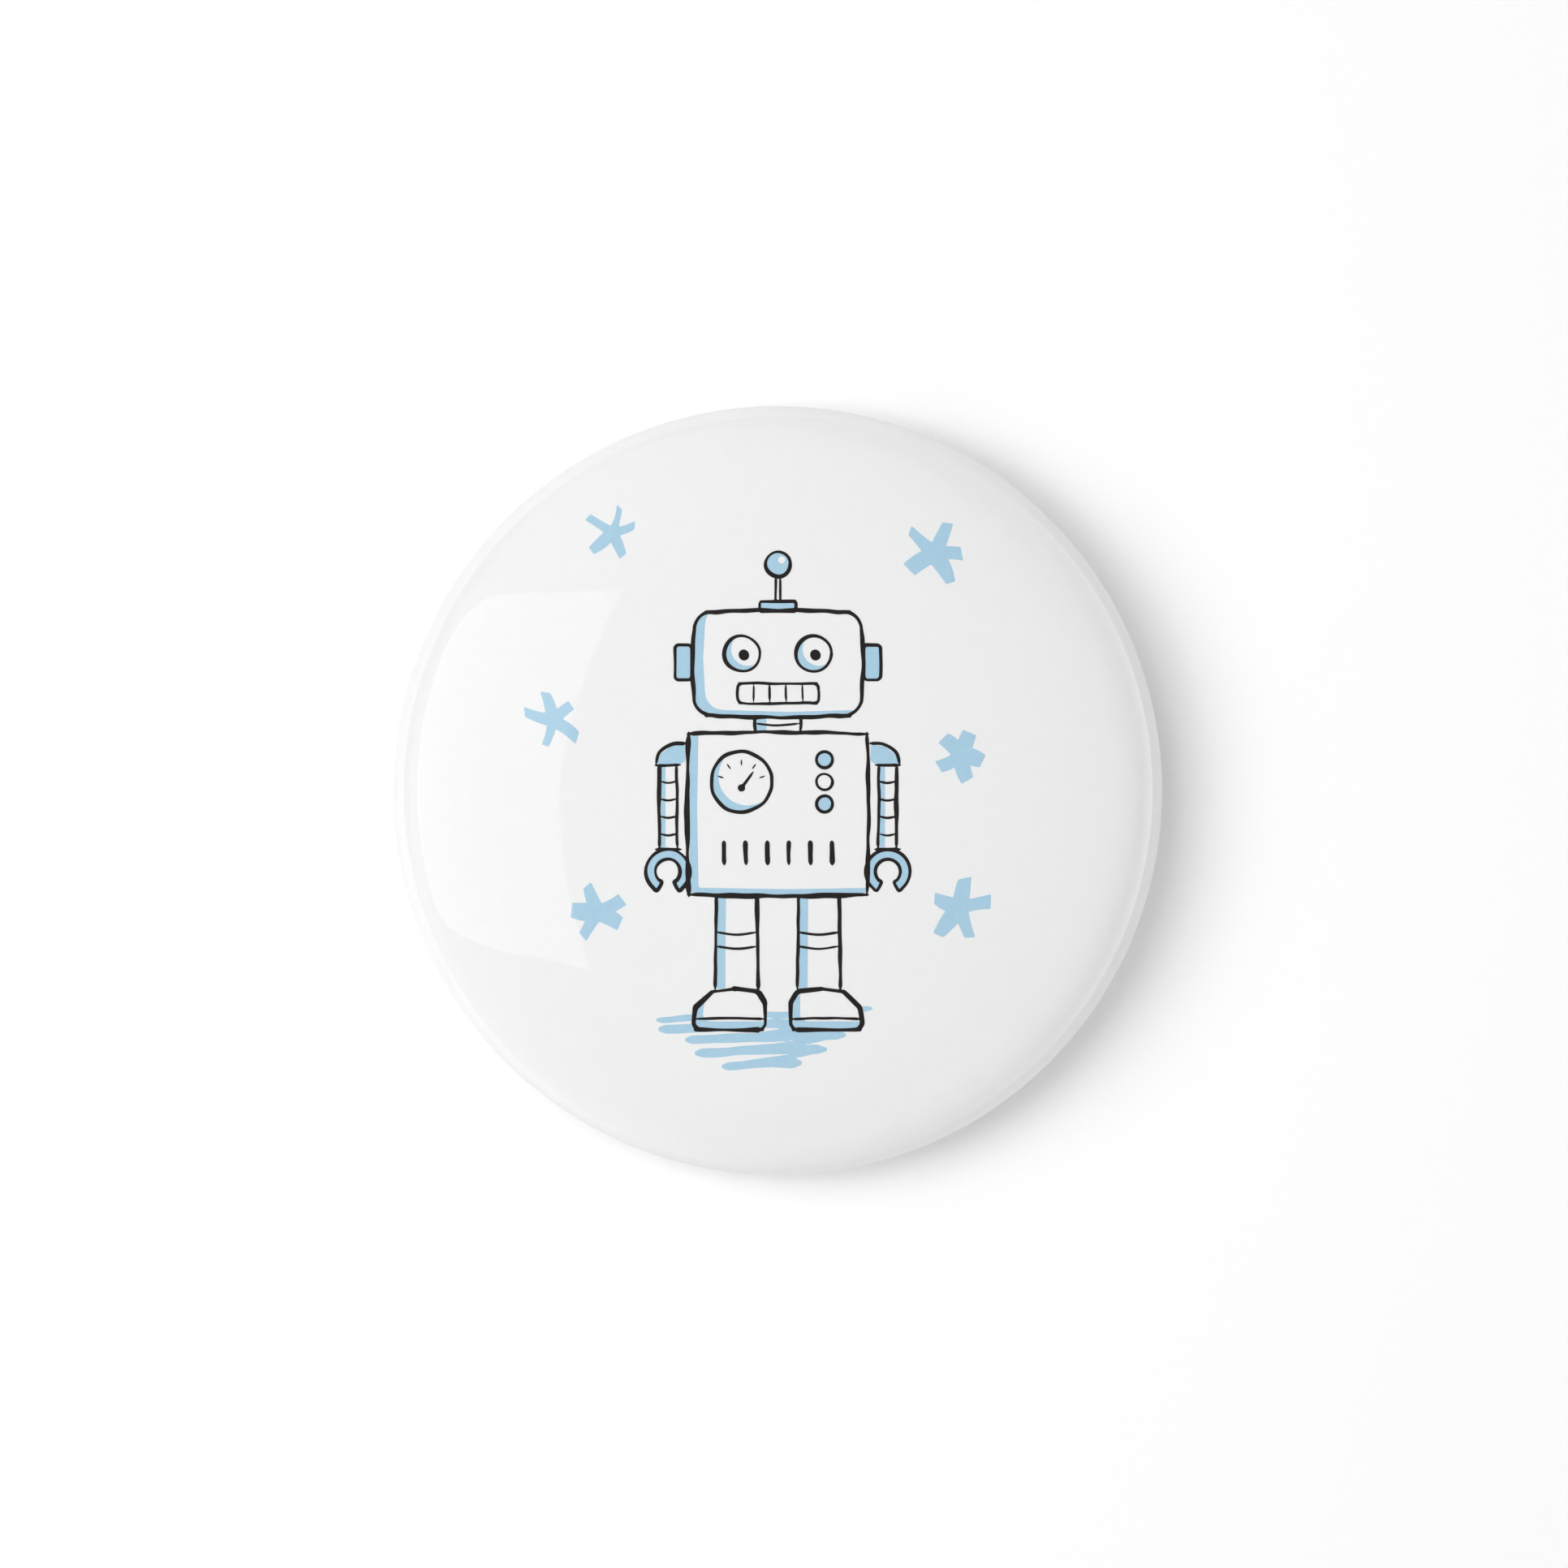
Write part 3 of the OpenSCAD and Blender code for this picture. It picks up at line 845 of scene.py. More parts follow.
# one straight aerial with a ball
pen(black, [(-0.17, 13.95), (-0.16, 15.95)], 0.18, 50, wob=0.02)
pen(black, [(0.18, 13.95), (0.17, 15.9)], 0.18, 51, wob=0.02)
cap = round_box(0.0, 13.65, 1.35, 0.38, 0.2)
blue.area(cap, grow=-0.05)
pen(black, cap, 0.22, 52, closed=True, wob=0.02)
blue.area(circle_pts(0.0, 16.8, 0.88, 40))
blue.area(circle_pts(0.28, 17.12, 0.27, 24), cut=True)
pen(black, circle_pts(0.0, 16.8, 0.92, 18), 0.26, 53, closed=True, wob=0.035, swell=0.3)
# neck: a short pleated tube
blue.area([(-1.62, 5.45), (-0.85, 5.45), (-0.85, 4.25), (-1.62, 4.25)])
for k, sx in enumerate((-1, 1)):
    pen(black, [(sx * 1.66, 5.5), (sx * 1.72, 4.95), (sx * 1.64, 4.25)], 0.24, 56 + k, wob=0.015)
pen(black, [(-1.62, 4.98), (0, 4.82), (1.62, 4.98)], 0.17, 58, wob=0.015)
# dial
pen(black, circle_pts(-2.7, 0.65, 2.25, 26), 0.27, 60, closed=True, wob=0.05, swell=0.3)
shade(circle_pts(-2.7, 0.65, 2.15, 48), 0.45, 0.4, 0.0)
for k, a in enumerate((20, 55, 90, 125, 160)):
    c, s = math.cos(math.radians(a)), math.sin(math.radians(a))
    pen(black, [(-2.7 + 1.42 * c, 0.45 + 1.42 * s), (-2.7 + 1.85 * c, 0.45 + 1.85 * s)], 0.18, 61 + k, wob=0.0)
pen(black, [(-2.7, 0.2), (-1.8, 1.4)], 0.24, 67, wob=0.02)
black.line([(-2.7, 0.2), (-2.69, 0.2)], [0.27, 0.27])
# buttons
for k, y in enumerate((2.3, 0.65, -1.0)):
    if k != 1:
        blue.area(circle_pts(3.45, y, 0.56, 30))
    pen(black, circle_pts(3.45, y, 0.6, 14), 0.23, 70 + k, closed=True, wob=0.025, swell=0.3)
# vent slots
for k in range(6):
    x = -4.0 + 1.6 * k
    pen(black, [(x, -3.75), (x + 0.03, -5.5)], 0.34, 76 + k, wob=0.02, taper=(0.15, 0.2))
# arms, straight down at the sides, with plain claws
for k, sx in enumerate((-1, 1)):
    blue.area([(sx * 6.9, 3.4), (sx * 7.9, 3.3), (sx * 8.8, 2.6), (sx * 8.95, 1.95), (sx * 7.3, 1.9), (sx * 6.85, 2.2)])
    pen(black, [(sx * 6.8, 3.5), (sx * 7.8, 3.45), (sx * 8.75, 2.85), (sx * 9.05, 1.9)], 0.27, 84 + k, wob=0.02)
    pen(black, [(sx * 7.2, 1.9), (sx * 9.1, 1.86)], 0.24, 86 + k, wob=0.02)
    pen(black, [(sx * 7.5, 1.9), (sx * 7.45, -4.3)], 0.23, 88 + k, wob=0.03)
    pen(black, [(sx * 8.8, 1.9), (sx * 8.78, -4.3)], 0.29, 90 + k, wob=0.03)
    for j in range(4):
        y = 0.7 - 1.3 * j
        pen(black, [(sx * 7.48, y), (sx * 8.12, y - 0.13), (sx * 8.78, y)], 0.17, 92 + 4 * k + j, wob=0.01)
    x0 = -8.75 if sx < 0 else 7.52
    blue.area([(x0, 1.8), (x0 + 0.42, 1.8), (x0 + 0.42, -4.2), (x0, -4.2)])
    pen(black, [(sx * 7.15, -4.35), (sx * 9.1, -4.35)], 0.25, 101 + k, wob=0.02)
    blue.area(arc_pts(sx * 8.15, -6.0, 1.57, -58, 238, 40) + arc_pts(sx * 8.15, -6.0, 0.98, 238, -58, 32))
    whole = arc_pts(sx * 8.15, -6.0, 1.64, -60, 240, 26) + arc_pts(sx * 8.15, -6.0, 0.92, 240, -60, 20)
    pen(black, whole, 0.25, 104 + k, closed=True, wob=0.025, swell=0.3)
# legs and flat feet
for k, sx in enumerate((-1, 1)):
    x0, x1 = sorted((sx * 1.5, sx * 4.6))
    foot = [(sx * 0.95, -17.75), (sx * 0.95, -15.7), (sx * 1.45, -14.9), (sx * 3.2, -14.7), (sx * 4.85, -14.9), (sx * 6.1, -16.1), (sx * 6.35, -17.75)]
    foot = fillet(foot, 0.55, 4)
    blue.area(foot, cut=True)
    blue.area([(x0 + 0.05, -7.85), (x0 + 0.75, -7.85), (x0 + 0.7, -14.7), (x0 + 0.0, -14.7)])
    pen(black, [(x0 + 0.05, -7.8), (x0, -11.0), (x0 - 0.05, -14.75)], 0.25, 110 + k, wob=0.03)
    pen(black, [(x1 - 0.05, -7.8), (x1, -11.0), (x1 + 0.05, -14.8)], 0.29, 112 + k, wob=0.03)
    pen(black, [(x0 + 0.05, -10.5), (0.5 * (x0 + x1), -10.68), (x1 - 0.05, -10.5)], 0.19, 114 + k, wob=0.01)
    pen(black, [(x0 + 0.05, -11.55), (0.5 * (x0 + x1), -11.73), (x1 - 0.05, -11.55)], 0.19, 116 + k, wob=0.01)
    shade(foot, 0.7, 0.62, -0.06)
    pen(black, foot, 0.33, 118 + k, closed=True, wob=0.03, swell=0.3)
    pen(black, [(sx * 1.05, -16.95), (sx * 3.6, -16.88), (sx * 6.2, -16.95)], 0.2, 120 + k, wob=0.02)

blue_ink = blue.mesh("ink_light_blue", 0.1215, 0.1290)
set_material(blue_ink, BLUE)
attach(blue_ink, "root")
black_ink = black.mesh("ink_black", 0.1130, 0.1285)
set_material(black_ink, BLACK)
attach(black_ink, "root")

# ----------------------------------------------------------------------------------------------
# Moulded back
# ----------------------------------------------------------------------------------------------
WELL_R, WELL_Z, SHELF_Z, T = 17.2, 5.0, 1.1, 0.9
LAND_IN = BACK_R - 0.35 - 1.8
SHELF_OUT = LAND_IN - 0.9
WALL_X = WELL_R + 0.6
TOP = WELL_Z + T
profile = [
    (WELL_R + 0.03, WELL_Z), (WELL_R + 0.55, WELL_Z - 0.5), (WALL_X + 0.3, SHELF_Z + 0.3), (WALL_X + 0.75, SHELF_Z),
    (SHELF_OUT, SHELF_Z), (SHELF_OUT + 0.5, SHELF_Z - 0.3), (LAND_IN - 0.25, 0.15), (LAND_IN + 0.1, 0.0),
    (BACK_R - 0.35, 0.0), (BACK_R - 0.05, 0.12), (BACK_R, 0.35),
    (BACK_R, HEM_TOP + 0.12), (BACK_R + 0.75, HEM_TOP + 0.22), (BACK_R + 1.1, HEM_TOP + 0.45),
    (BACK_R + 0.95, HEM_TOP + 0.7), (BACK_R + 0.2, HEM_TOP + 0.95), (BACK_R - T, HEM_TOP + 0.9),
    (BACK_R - T, 1.3), (BACK_R - T - 0.4, 0.95), (LAND_IN + 0.2, 0.95), (SHELF_OUT + 0.7, SHELF_Z + 0.3),
    (SHELF_OUT + 0.2, SHELF_Z + T), (WALL_X + T + 0.5, SHELF_Z + T), (WALL_X + T + 0.1, SHELF_Z + T + 0.4),
    (WELL_R + 0.5 + T, WELL_Z - 0.2), (WELL_R + 0.3 + T, TOP - 0.3), (WELL_R + T - 0.1, TOP)]
radii = [0.3] * 11 + [0.1] + [0.25] * (len(profile) - 12)
rounded = fillet([(0.0, WELL_Z)] + profile + [(0.0, TOP)], [0.0] + radii + [0.0], 4, closed=False)
# rings across the flat of the well, so its faces stay even
loop = [(0.0, WELL_Z)] + [(r, WELL_Z) for r in (3.0, 7.0, 11.0, 14.5)] + rounded[1:-1] + [(r, TOP) for r in (14.0, 9.0, 4.0)] + [(0.0, TOP)]
back = lathe("moulded_back", loop, 256)


def soft_box(name, size, at, turn=0.0, bevel=0.12):
    """A moulded bar with rounded edges, size and place in mm."""
    bm = bmesh.new()
    bmesh.ops.create_cube(bm, size=1.0)
    bmesh.ops.scale(bm, vec=size, verts=bm.verts)
    bmesh.ops.bevel(bm, geom=list(bm.edges), offset=bevel, segments=3, profile=0.5, affect="EDGES")
    bmesh.ops.translate(bm, vec=at, verts=bm.verts)
    bmesh.ops.rotate(bm, cent=(0, 0, 0), matrix=Matrix.Rotation(turn, 3, "Z"), verts=bm.verts)
    bmesh.ops.scale(bm, vec=(MM, MM, MM), verts=bm.verts)
    me = bpy.data.meshes.new(name)
    bm.to_mesh(me)
    bm.free()
    ob = bpy.data.objects.new(name, me)
    SCENE.collection.objects.link(ob)
    return ob


BAR_Z, BAR_W, BAR_T = 4.4, 4.6, 0.6
RIB_N = 24
adds = []
for i in range(RIB_N):
    a = (i + 0.5) * 2 * math.pi / RIB_N
    r0, r1 = WALL_X + 1.1, SHELF_OUT - 0.4
    adds.append(soft_box("rib", (r1 - r0, 0.6, 0.6), ((r0 + r1) / 2, 0, SHELF_Z - 0.05), a, 0.14))
for s in (-1, 1):
    adds.append(soft_box("rail", (18.0, 0.7, 0.9), (0, s * (BAR_W / 2 + 0.5), WELL_Z - 0.25), 0.0, 0.14))
ribs = join_data("ribs", adds)
PEG_X, PEG_R = 6.5, 1.15
pegs = []
for s in (-1, 1):
    # a stem with a head that was melted over the bar: a little fuller on one side, with a small dimple
    head = [(0.0, BAR_Z - 0.36), (0.30, BAR_Z - 0.38), (0.55, BAR_Z - 0.50), (0.80, BAR_Z - 0.56), (1.20, BAR_Z - 0.56), (1.52, BAR_Z - 0.50),
            (1.74, BAR_Z - 0.36), (1.85, BAR_Z - 0.20), (1.87, BAR_Z - 0.07), (1.78, BAR_Z - 0.01), (PEG_R, BAR_Z - 0.01), (PEG_R, WELL_Z + 0.3), (0.0, WELL_Z + 0.3)]

    def lopsided(r, z, a, k, s=s):
        swell = 1 + (0.018 * math.cos(a - 0.7 * s) + 0.012 * math.cos(3 * a + s)) * (1 if 3 <= k <= 8 else 0)
        return r * min(swell, 1.01), z

    peg = lathe("peg", head, 48, lopsided)
    peg.data.transform(Matrix.Translation((s * PEG_X * MM, 0, 0)))
    pegs.append(peg)
pegs = join_data("pegs", pegs)
back = boolean(back, [ribs, pegs])
# shallow marks left by the mould's ejector pins
marks = []
for x, y in ((-9.5, 9.5), (9.5, 9.5), (-9.5, -9.5), (9.5, -9.5)):
    ring = [(0.0, WELL_Z - 0.3), (1.25, WELL_Z - 0.3), (1.25, WELL_Z + 0.035), (1.2, WELL_Z + 0.06), (0.0, WELL_Z + 0.06)]
    mk = lathe("mark", ring, 48)
    mk.data.transform(Matrix.Translation((x * MM, y * MM, 0)))
    marks.append(mk)
marks = join_data("marks", marks)
back = boolean(back, [marks], "DIFFERENCE")
back.name = "moulded_back"
set_material(back, PLASTIC)
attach(back, "root")
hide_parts("back_plate")

# ----------------------------------------------------------------------------------------------
# Locking bar pin
# ----------------------------------------------------------------------------------------------
NEEDLE_Z, HINGE_X = 2.3, -13.2
W2, E2 = BAR_W / 2, 1.1
outline = [(-11.2, W2 - 0.5), (-10.7, W2), (9.4, W2), (9.9, W2 - 0.5), (10.4, E2), (13.7, E2),
           (13.7, -E2), (10.4, -E2), (9.9, -W2 + 0.5), (9.4, -W2), (-10.7, -W2), (-11.2, -W2 + 0.5),
           (-11.7, -E2), (-15.0, -E2), (-15.0, E2), (-11.7, E2)]
outline = fillet(outline, [0.35, 0.5, 0.5, 0.35, 0.3, 0.35, 0.35, 0.3, 0.35, 0.5, 0.5, 0.35, 0.3, 0.35, 0.35, 0.3], 5)
bar = plate("bar_sheet", [outline] + [circle_pts(x, 0, r, 56) for x, r in ((-PEG_X, 1.25), (PEG_X, 1.25), (0.0, 0.9))],
            BAR_Z, BAR_Z + BAR_T, 0.09)

# the part's side views are drawn in a plane (u, v) and turned to lie in XZ: u = x, v = z
XZ = Matrix(((1, 0, 0, 0), (0, 0, 1, 0), (0, 1, 0, 0), (0, 0, 0, 1)))
EAR_IN, EAR_T, EAR_R = 0.58, 0.5, 1.15
a_side = 8.0
ear_line = ([(-14.85, BAR_Z + 0.3), (-14.85, BAR_Z - 0.1)]
            + arc_pts(HINGE_X, NEEDLE_Z, EAR_R, 180 - a_side, 360 + a_side, 40)
            + [(-12.09, BAR_Z - 0.1), (-12.09, BAR_Z + 0.3)])
ears = []
for s in (-1, 1):
    y0 = s * EAR_IN if s > 0 else -(EAR_IN + EAR_T)
    ears.append(plate("ear", [ear_line, circle_pts(HINGE_X, NEEDLE_Z, 0.52, 40)], y0, y0 + EAR_T, 0.08, matrix=XZ))

# sections across X are drawn in a plane (u, v) with u = y, v = z, and run along X
YZ = Matrix(((0, 0, 1, 0), (1, 0, 0, 0), (0, 1, 0, 0), (0, 0, 0, 1)))


def c_section(r_in, r_out, slot, neck=None, n=40):
    """A ring open downwards by a slot, or with its neck up to the bar."""
    ai = math.degrees(math.asin(slot / 2 / r_in))
    ao = math.degrees(math.asin(slot / 2 / r_out))
    inner = arc_pts(0, NEEDLE_Z, r_in, -90 - ai, -90 + ai - 360, n)
    if neck is None:
        outer = arc_pts(0, NEEDLE_Z, r_out, -90 + ao - 360, -90 - ao, n)
        pts = inner + outer
    else:
        half, top = neck
        at = math.degrees(math.asin(half / r_out))
        right = arc_pts(0, NEEDLE_Z, r_out, -90 + ao, 90 - at, n // 2)
        left = arc_pts(0, NEEDLE_Z, r_out, 90 + at, 270 - ao, n // 2)
        outer = right + [(half, top), (-half, top)] + left
        pts = outer + list(inner)
    return pts


RING_IN, RING_OUT, RING_X, RING_L = 1.15, 1.55, 11.0, 2.4
SLOT = 1.2
ring = plate("catch_ring", [c_section(RING_IN, RING_OUT, SLOT + 0.1, (0.95, BAR_Z + 0.25))], RING_X, RING_X + RING_L, 0.07, matrix=YZ)
bar = join_data("pin_bar_plated", [bar, *ears, ring])
set_material(bar, NICKEL)
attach(bar, "root")
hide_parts("pin_bar")

# rivet, with both heads rounded over
half = EAR_IN + EAR_T + 0.02
prof = [(0.0, -half - 0.4), (0.3, -half - 0.375), (0.58, -half - 0.29), (0.78, -half - 0.16), (0.885, -half - 0.05), (0.87, -half - 0.005),
        (0.5, -half), (0.5, half), (0.87, half + 0.005), (0.885, half + 0.05), (0.78, half + 0.16), (0.58, half + 0.29), (0.3, half + 0.375), (0.0, half + 0.4)]
rivet = lathe("hinge_rivet_headed", prof, 48)
rivet.data.transform(Matrix.Translation((HINGE_X * MM, 0, NEEDLE_Z * MM)) @ Matrix.Rotation(math.radians(90), 4, "X"))
set_material(rivet, RIVET)
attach(rivet, "root")
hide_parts("hinge_rivet")

# needle: flattened eye, a shoulder that blends into the wire, and a ground point
R = 0.45
eye = plate("needle_eye", [circle_pts(HINGE_X, NEEDLE_Z, 1.1, 64), circle_pts(HINGE_X, NEEDLE_Z, 0.56, 40)], -0.5, 0.5, 0.12, 4, matrix=XZ)
stations = []
for i in range(9):
    t = i / 8
    e = t * t * (3 - 2 * t)
    stations.append((-12.42 + 0.75 * t, 0.49 + (R - 0.49) * e, 0.72 + (R - 0.72) * e, 0.0))
for x in np.linspace(-11.4, 10.3, 24):
    stations.append((float(x), R, R, 0.0))
for i in range(1, 15):
    t = i / 14
    x = 10.3 + 4.0 * t
    r = R * (1 - t ** 1.7) ** 0.9 + 0.018 * t
    stations.append((x, max(r, 0.012), max(r, 0.012), 0.0))
verts, faces = [], []
NS = 32
for x, ry, rz, dz in stations:
    for j in range(NS):
        a = 2 * math.pi * j / NS
        verts.append((x, ry * math.cos(a), NEEDLE_Z + dz + rz * math.sin(a)))
for i in range(len(stations) - 1):
    for j in range(NS):
        a, b = i * NS + j, i * NS + (j + 1) % NS
        faces.append([a, b, b + NS, a + NS])
faces.append([j for j in range(NS)][::-1])
verts.append((stations[-1][0] + 0.012, 0, NEEDLE_Z))
last = (len(stations) - 1) * NS
for j in range(NS):
    faces.append([last + j, last + (j + 1) % NS, len(verts) - 1])
wire = new_object("needle_wire", verts, faces, sharp=50)
needle = boolean(eye, [wire], sharp=36)
needle.name = "needle_ground"
set_material(needle, WIRE)
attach(needle, "needle")
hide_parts("pin_needle")

# catch: slotted barrel, collars and a thumb lever
BX = 10.5
barrel = plate("barrel", [c_section(0.72, 1.08, SLOT)], BX, BX + 4.4, 0.05, matrix=YZ)
collar = plate("collar", [c_section(0.74, RING_IN + 0.27, SLOT)], BX, BX + 0.4, 0.06, matrix=YZ)
grip = plate("grip", [c_section(0.74, RING_IN + 0.15, SLOT)], BX + 3.0, BX + 4.4, 0.07, matrix=YZ)
lv = fillet([(0.88, -0.3), (2.15, -0.3), (2.15, 0.3), (0.88, 0.3)], [0.0, 0.22, 0.22, 0.0], 4)
ang = math.radians(-90 - 60)
lv = [(u * math.cos(ang) - v * math.sin(ang), NEEDLE_Z + u * math.sin(ang) + v * math.cos(ang)) for u, v in lv]
lever = plate("lever", [lv], BX + 3.1, BX + 4.3, 0.09, matrix=YZ)
catch = join_data("catch_barrel_plated", [barrel, collar, grip, lever])
set_material(catch, NICKEL)
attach(catch, "catch")
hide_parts("catch_barrel")

# the shell is hidden in the assembly, and keeps its CAD shape
set_material(NODES["front_shell"], TIN)

# ----------------------------------------------------------------------------------------------
# Floor, lights and camera
# ----------------------------------------------------------------------------------------------
floor_me = bpy.data.meshes.new("floor")
S = 0.36
FLOOR_Z = -0.00003
floor_me.from_pydata([(-S, -S, FLOOR_Z), (S, -S, FLOOR_Z), (S, S, FLOOR_Z), (-S, S, FLOOR_Z)], [], [(0, 1, 2, 3)])
floor = bpy.data.objects.new("floor", floor_me)
SCENE.collection.objects.link(floor)
k = Mat("floor_card")
fp = k.node("ShaderNodeBsdfPrincipled", inputs={"Base Color": (0.93, 0.93, 0.93, 1), "Roughness": 0.9, "Specular IOR Level": 0.1})
ft = k.node("ShaderNodeBsdfTransparent")
geo = k.node("ShaderNodeNewGeometry")
path = k.node("ShaderNodeLightPath")
fo = k.node("ShaderNodeSeparateXYZ")
k.link(k.coords(), fo.inputs[0])
fr = k.maths("SQRT", k.maths("ADD", k.maths("MULTIPLY", fo.outputs[0], fo.outputs[0]), k.maths("MULTIPLY", fo.outputs[1], fo.outputs[1])))
hidden = k.maths("LESS_THAN", fr, 0.0271)
open_side = k.maths("MAXIMUM", k.maths("MAXIMUM", geo.outputs["Backfacing"], hidden), k.maths("MULTIPLY", path.outputs["Is Shadow Ray"], 0.15))
fm = k.node("ShaderNodeMixShader")
k.link(open_side, fm.inputs[0])
k.link(fp.outputs[0], fm.inputs[1])
k.link(ft.outputs[0], fm.inputs[2])
k.link(fm.outputs[0], k.out.inputs[0])
set_material(floor, k.m)

# the room: even light for diffuse surfaces, a brighter horizon (but for the left) in reflections, white behind it all
world = bpy.data.worlds.new("studio")
SCENE.world = world
world.use_nodes = True
world.cycles.sampling_method = "NONE"
wt = world.node_tree
wt.nodes.clear()


def wmath(op, *args):
    n = wt.nodes.new("ShaderNodeMath")
    n.operation = op
    for i, v in enumerate(args):
        if isinstance(v, (int, float)):
            n.inputs[i].default_value = v
        else:
            wt.links.new(v, n.inputs[i])
    return n.outputs[0]


ROOM_DIFFUSE, ROOM_GLOSS = 0.02, 0.10
wo = wt.nodes.new("ShaderNodeOutputWorld")
wb = wt.nodes.new("ShaderNodeBackground")
wb.inputs["Color"].default_value = (1, 1, 1, 1)
lp = wt.nodes.new("ShaderNodeLightPath")
tc = wt.nodes.new("ShaderNodeTexCoord")
sx = wt.nodes.new("ShaderNodeSeparateXYZ")
wt.links.new(tc.outputs["Generated"], sx.inputs[0])
up = wmath("MAXIMUM", sx.outputs[2], 0.0)
low = wmath("MAXIMUM", wmath("SUBTRACT", 1.0, wmath("MULTIPLY", up, 1.35)), 0.0)


def lobe(v, sign, amount):
    v = wmath("MAXIMUM", wmath("MULTIPLY", v, sign), 0.0)
    return wmath("MULTIPLY", wmath("MULTIPLY", v, v), amount)


side = wmath("ADD", lobe(sx.outputs[0], 1, 2.8), wmath("ADD", lobe(sx.outputs[1], 1, 0.31), lobe(sx.outputs[1], -1, 0.72)))
zenith = wmath("MINIMUM", wmath("MAXIMUM", wmath("MULTIPLY", wmath("SUBTRACT", up, 0.8), 5.0), 0.0), 1.0)
under = wmath("LESS_THAN", sx.outputs[2], 0.0)
below = wmath("ADD", wmath("ADD", 0.20, lobe(sx.outputs[0], -1, 1.9)), wmath("ADD", lobe(sx.outputs[0], 1, 0.75), lobe(sx.outputs[1], 1, 0.8)))
gloss = wmath("ADD", ROOM_GLOSS, wmath("ADD", wmath("MULTIPLY", low, side), wmath("ADD", wmath("MULTIPLY", zenith, 0.17), wmath("MULTIPLY", under, below))))
strength = wmath("ADD", wmath("MULTIPLY", lp.outputs["Is Glossy Ray"], gloss),
                 wmath("MULTIPLY", wmath("SUBTRACT", 1.0, wmath("MAXIMUM", lp.outputs["Is Glossy Ray"], lp.outputs["Is Camera Ray"])), ROOM_DIFFUSE))
strength = wmath("ADD", strength, lp.outputs["Is Camera Ray"])
wt.links.new(strength, wb.inputs["Strength"])
wt.links.new(wb.outputs[0], wo.inputs[0])


def area_light(name, at, aim, size, power, glossy=True, diffuse=True, shape="RECTANGLE", spread=180.0):
    data = bpy.data.lights.new(name, "AREA")
    data.shape = shape
    data.size, data.size_y = size
    data.energy = power
    data.spread = math.radians(spread)
    ob = bpy.data.objects.new(name, data)
    SCENE.collection.objects.link(ob)
    ob.location = at
    ob.rotation_euler = (Vector(aim) - Vector(at)).to_track_quat("-Z", "Y").to_euler()
    ob.visible_camera = False
    ob.visible_glossy = glossy
    ob.visible_diffuse = diffuse
    return ob


def dome_light(name, elevation, azimuth, power, size=0.32, far=0.75):
    """Soft light that shows as light and shadow only, placed by its elevation and azimuth in degrees."""
    e, a = math.radians(elevation), math.radians(azimuth)
    at = (far * math.cos(e) * math.cos(a), far * math.cos(e) * math.sin(a), far * math.sin(e))
    return area_light(name, at, (0, 0, 0), (size, size), power, glossy=False)


# the room's soft light: strongest from the left, at about 40 degrees
for i, (el, az, power, size) in enumerate([
        (42, 180, 1.23, 0.32), (35, 165, 0.85, 0.32), (60, 180, 0.87, 0.32), (60, 130, 0.85, 0.32), (42, 150, 0.45, 0.32),
        (25, 180, 0.46, 0.32), (25, 110, 0.43, 0.32), (25, 250, 0.46, 0.32), (25, 210, 0.20, 0.32), (42, 210, 0.22, 0.32),
        (42, 270, 0.24, 0.32), (60, 230, 0.17, 0.32), (60, 0, 0.52, 0.32), (90, 0, 0.27, 0.32),
        (35, -20, 0.47, 0.50), (35, 20, 0.66, 0.50)]):
    dome_light(f"soft_{i}", el, az, power, size)
for s_ in (-1, 1):
    area_light(f"low_right_{s_}", (0.369, 0.640 * s_, 0.21), (0, 0, 0), (0.4, 0.4), 1.06, glossy=False)
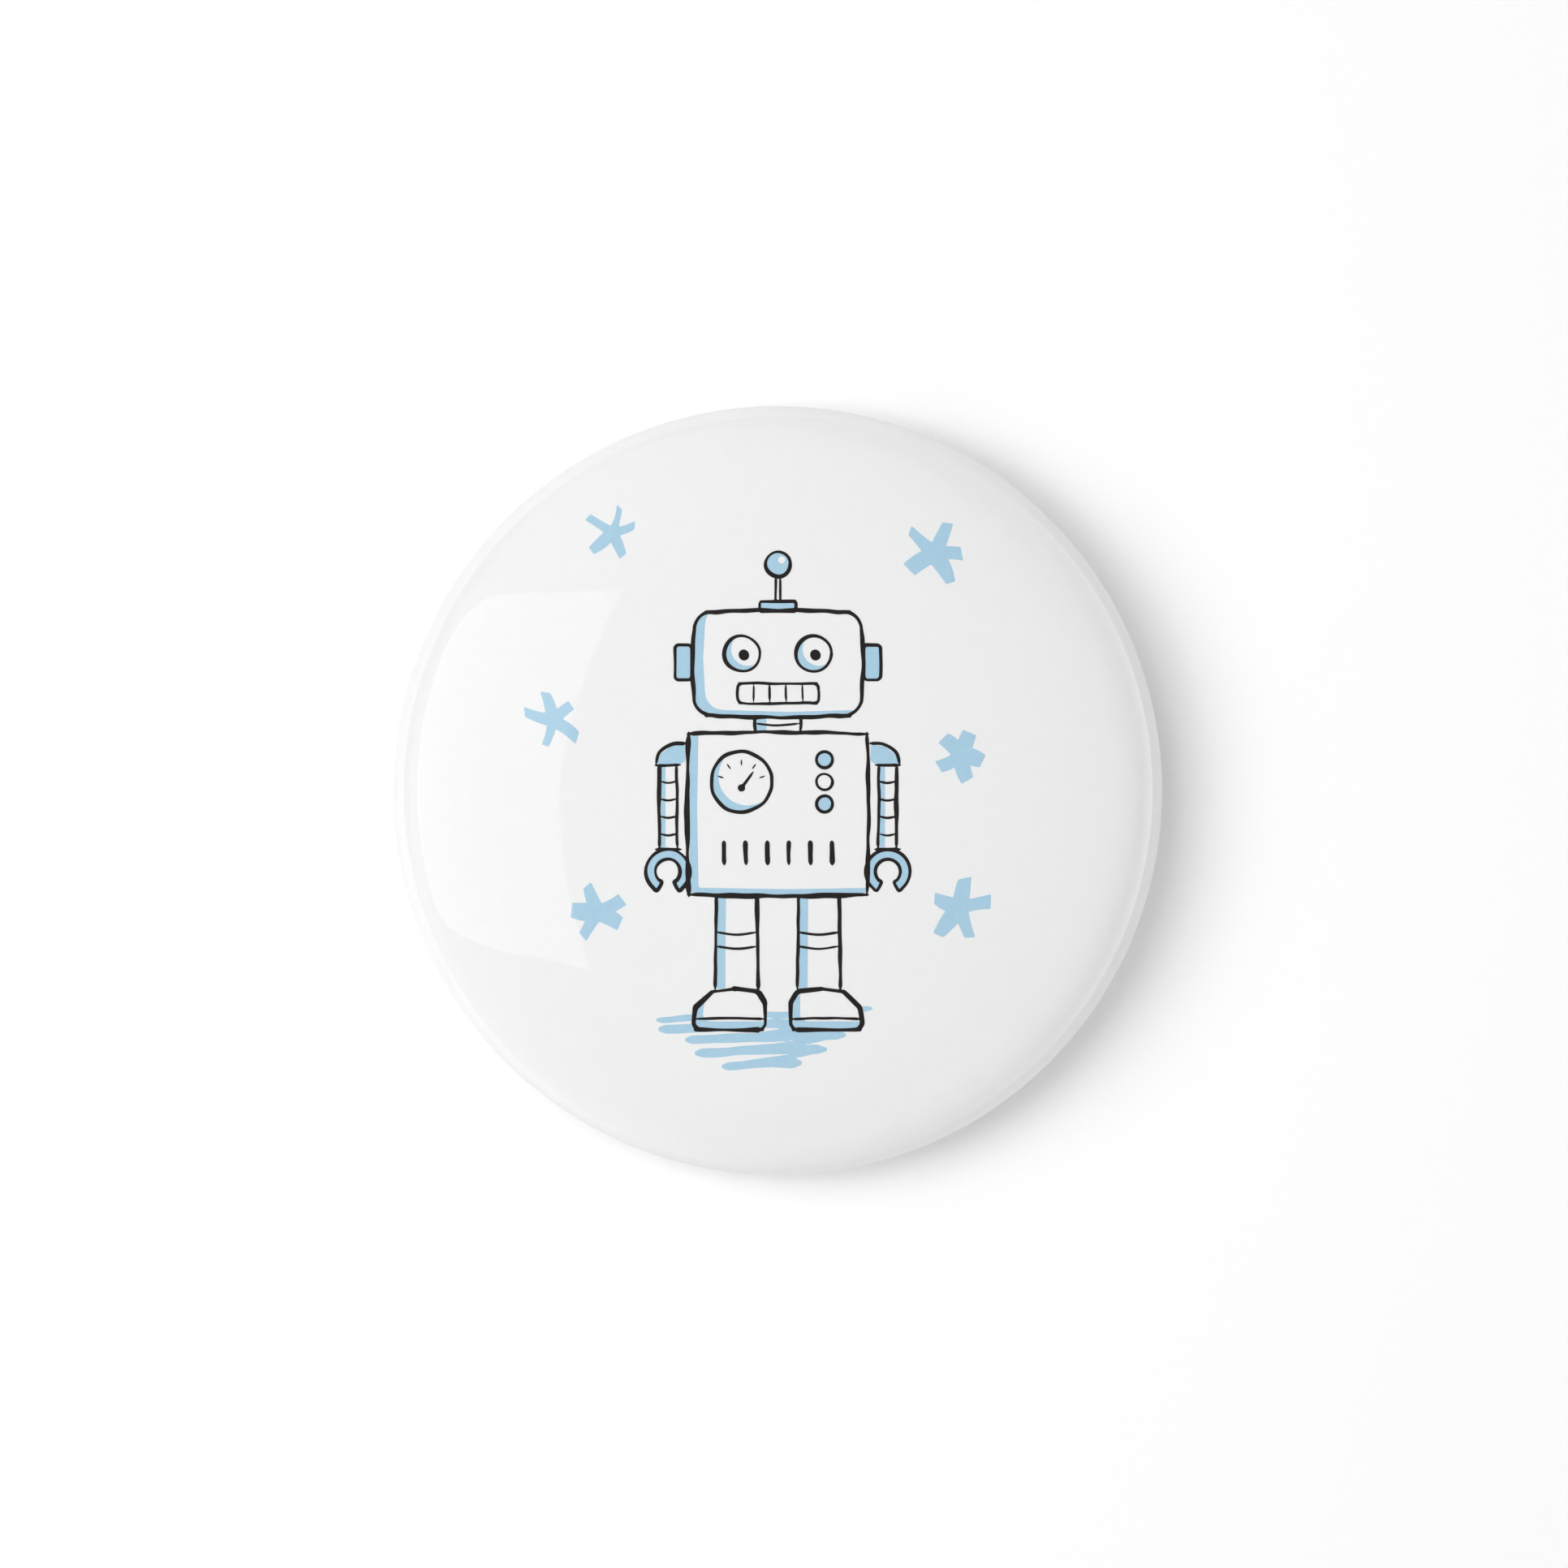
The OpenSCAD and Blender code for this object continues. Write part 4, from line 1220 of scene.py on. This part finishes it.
# softbox whose reflection lies across the left of the face: a panel standing at the left, leaning outwards towards the
# floor. Its cloth is drawn in along the near edge and its corners are round. along is 0 at the near edge and 1 at the far one.
SOFT_NEAR, SOFT_FAR = (-0.111, 0.674), (-0.2925, 0.250)
near_edge = ([0.0, 0.1, 0.2, 0.3, 0.41, 0.52, 0.65, 0.79, 0.89, 1.0], [0.092, 0.092, 0.098, 0.105, 0.107, 0.100, 0.075, 0.038, 0.017, -0.009])
top_edge = ([0.0, 0.2, 0.33, 0.47, 0.61, 0.75, 0.86, 0.94, 0.985, 1.0], [0.1375, 0.139, 0.1425, 0.149, 0.156, 0.157, 0.1535, 0.147, 0.136, 0.124])
bottom_edge = ([0.0, 0.1, 0.2, 0.42, 0.62, 0.78, 0.88, 0.95, 0.985, 1.0], [-0.121, -0.1165, -0.1145, -0.1160, -0.1142, -0.1132, -0.1115, -0.1075, -0.101, -0.094])
soft_me = bpy.data.meshes.new("card_softbox")
nu, nv = 40, 32
sv = []
for i in range(nu + 1):
    u = i / nu
    y0, y1 = np.interp(u, *bottom_edge), np.interp(u, *top_edge)
    for j in range(nv + 1):
        v = j / nv
        along = (1 - u) * np.interp(v, *near_edge) + u * 1.025
        sv.append((SOFT_NEAR[0] + (SOFT_FAR[0] - SOFT_NEAR[0]) * along, y0 + (y1 - y0) * v, SOFT_NEAR[1] + (SOFT_FAR[1] - SOFT_NEAR[1]) * along))
sf = [(i * (nv + 1) + j, (i + 1) * (nv + 1) + j, (i + 1) * (nv + 1) + j + 1, i * (nv + 1) + j + 1) for i in range(nu) for j in range(nv)]
soft_me.from_pydata(sv, [], sf)
soft = bpy.data.objects.new("card_softbox", soft_me)
SCENE.collection.objects.link(soft)
soft.visible_camera = False
soft.visible_shadow = False
k = Mat("softbox_cloth")
em = k.node("ShaderNodeEmission", inputs={"Color": (1, 1, 1, 1), "Strength": 1.21})
k.link(em.outputs[0], k.out.inputs[0])
set_material(soft, k.m)
# light from below, for looking at the back
area_light("under_left", (-0.42, 0.28, -0.42), (0, 0, 0), (0.2, 0.2), 3.9, glossy=False)
area_light("under_right", (0.42, -0.2, -0.45), (0, 0, 0), (0.22, 0.22), 0.8, glossy=False)

cam_data = bpy.data.cameras.new("camera")
cam_data.sensor_width = 36.0
cam_data.lens = 100.0
cam_data.clip_start, cam_data.clip_end = 0.01, 10
cam = bpy.data.objects.new("camera", cam_data)
SCENE.collection.objects.link(cam)
cam.location = (0.000458, 0.000489, 0.3278 + 0.0027)
cam.rotation_euler = (0, 0, 0)
SCENE.camera = cam
SCENE.view_settings.view_transform = "Standard"
SCENE.view_settings.look = "None"
SCENE.view_settings.exposure = 0.0
SCENE.view_settings.gamma = 1.0
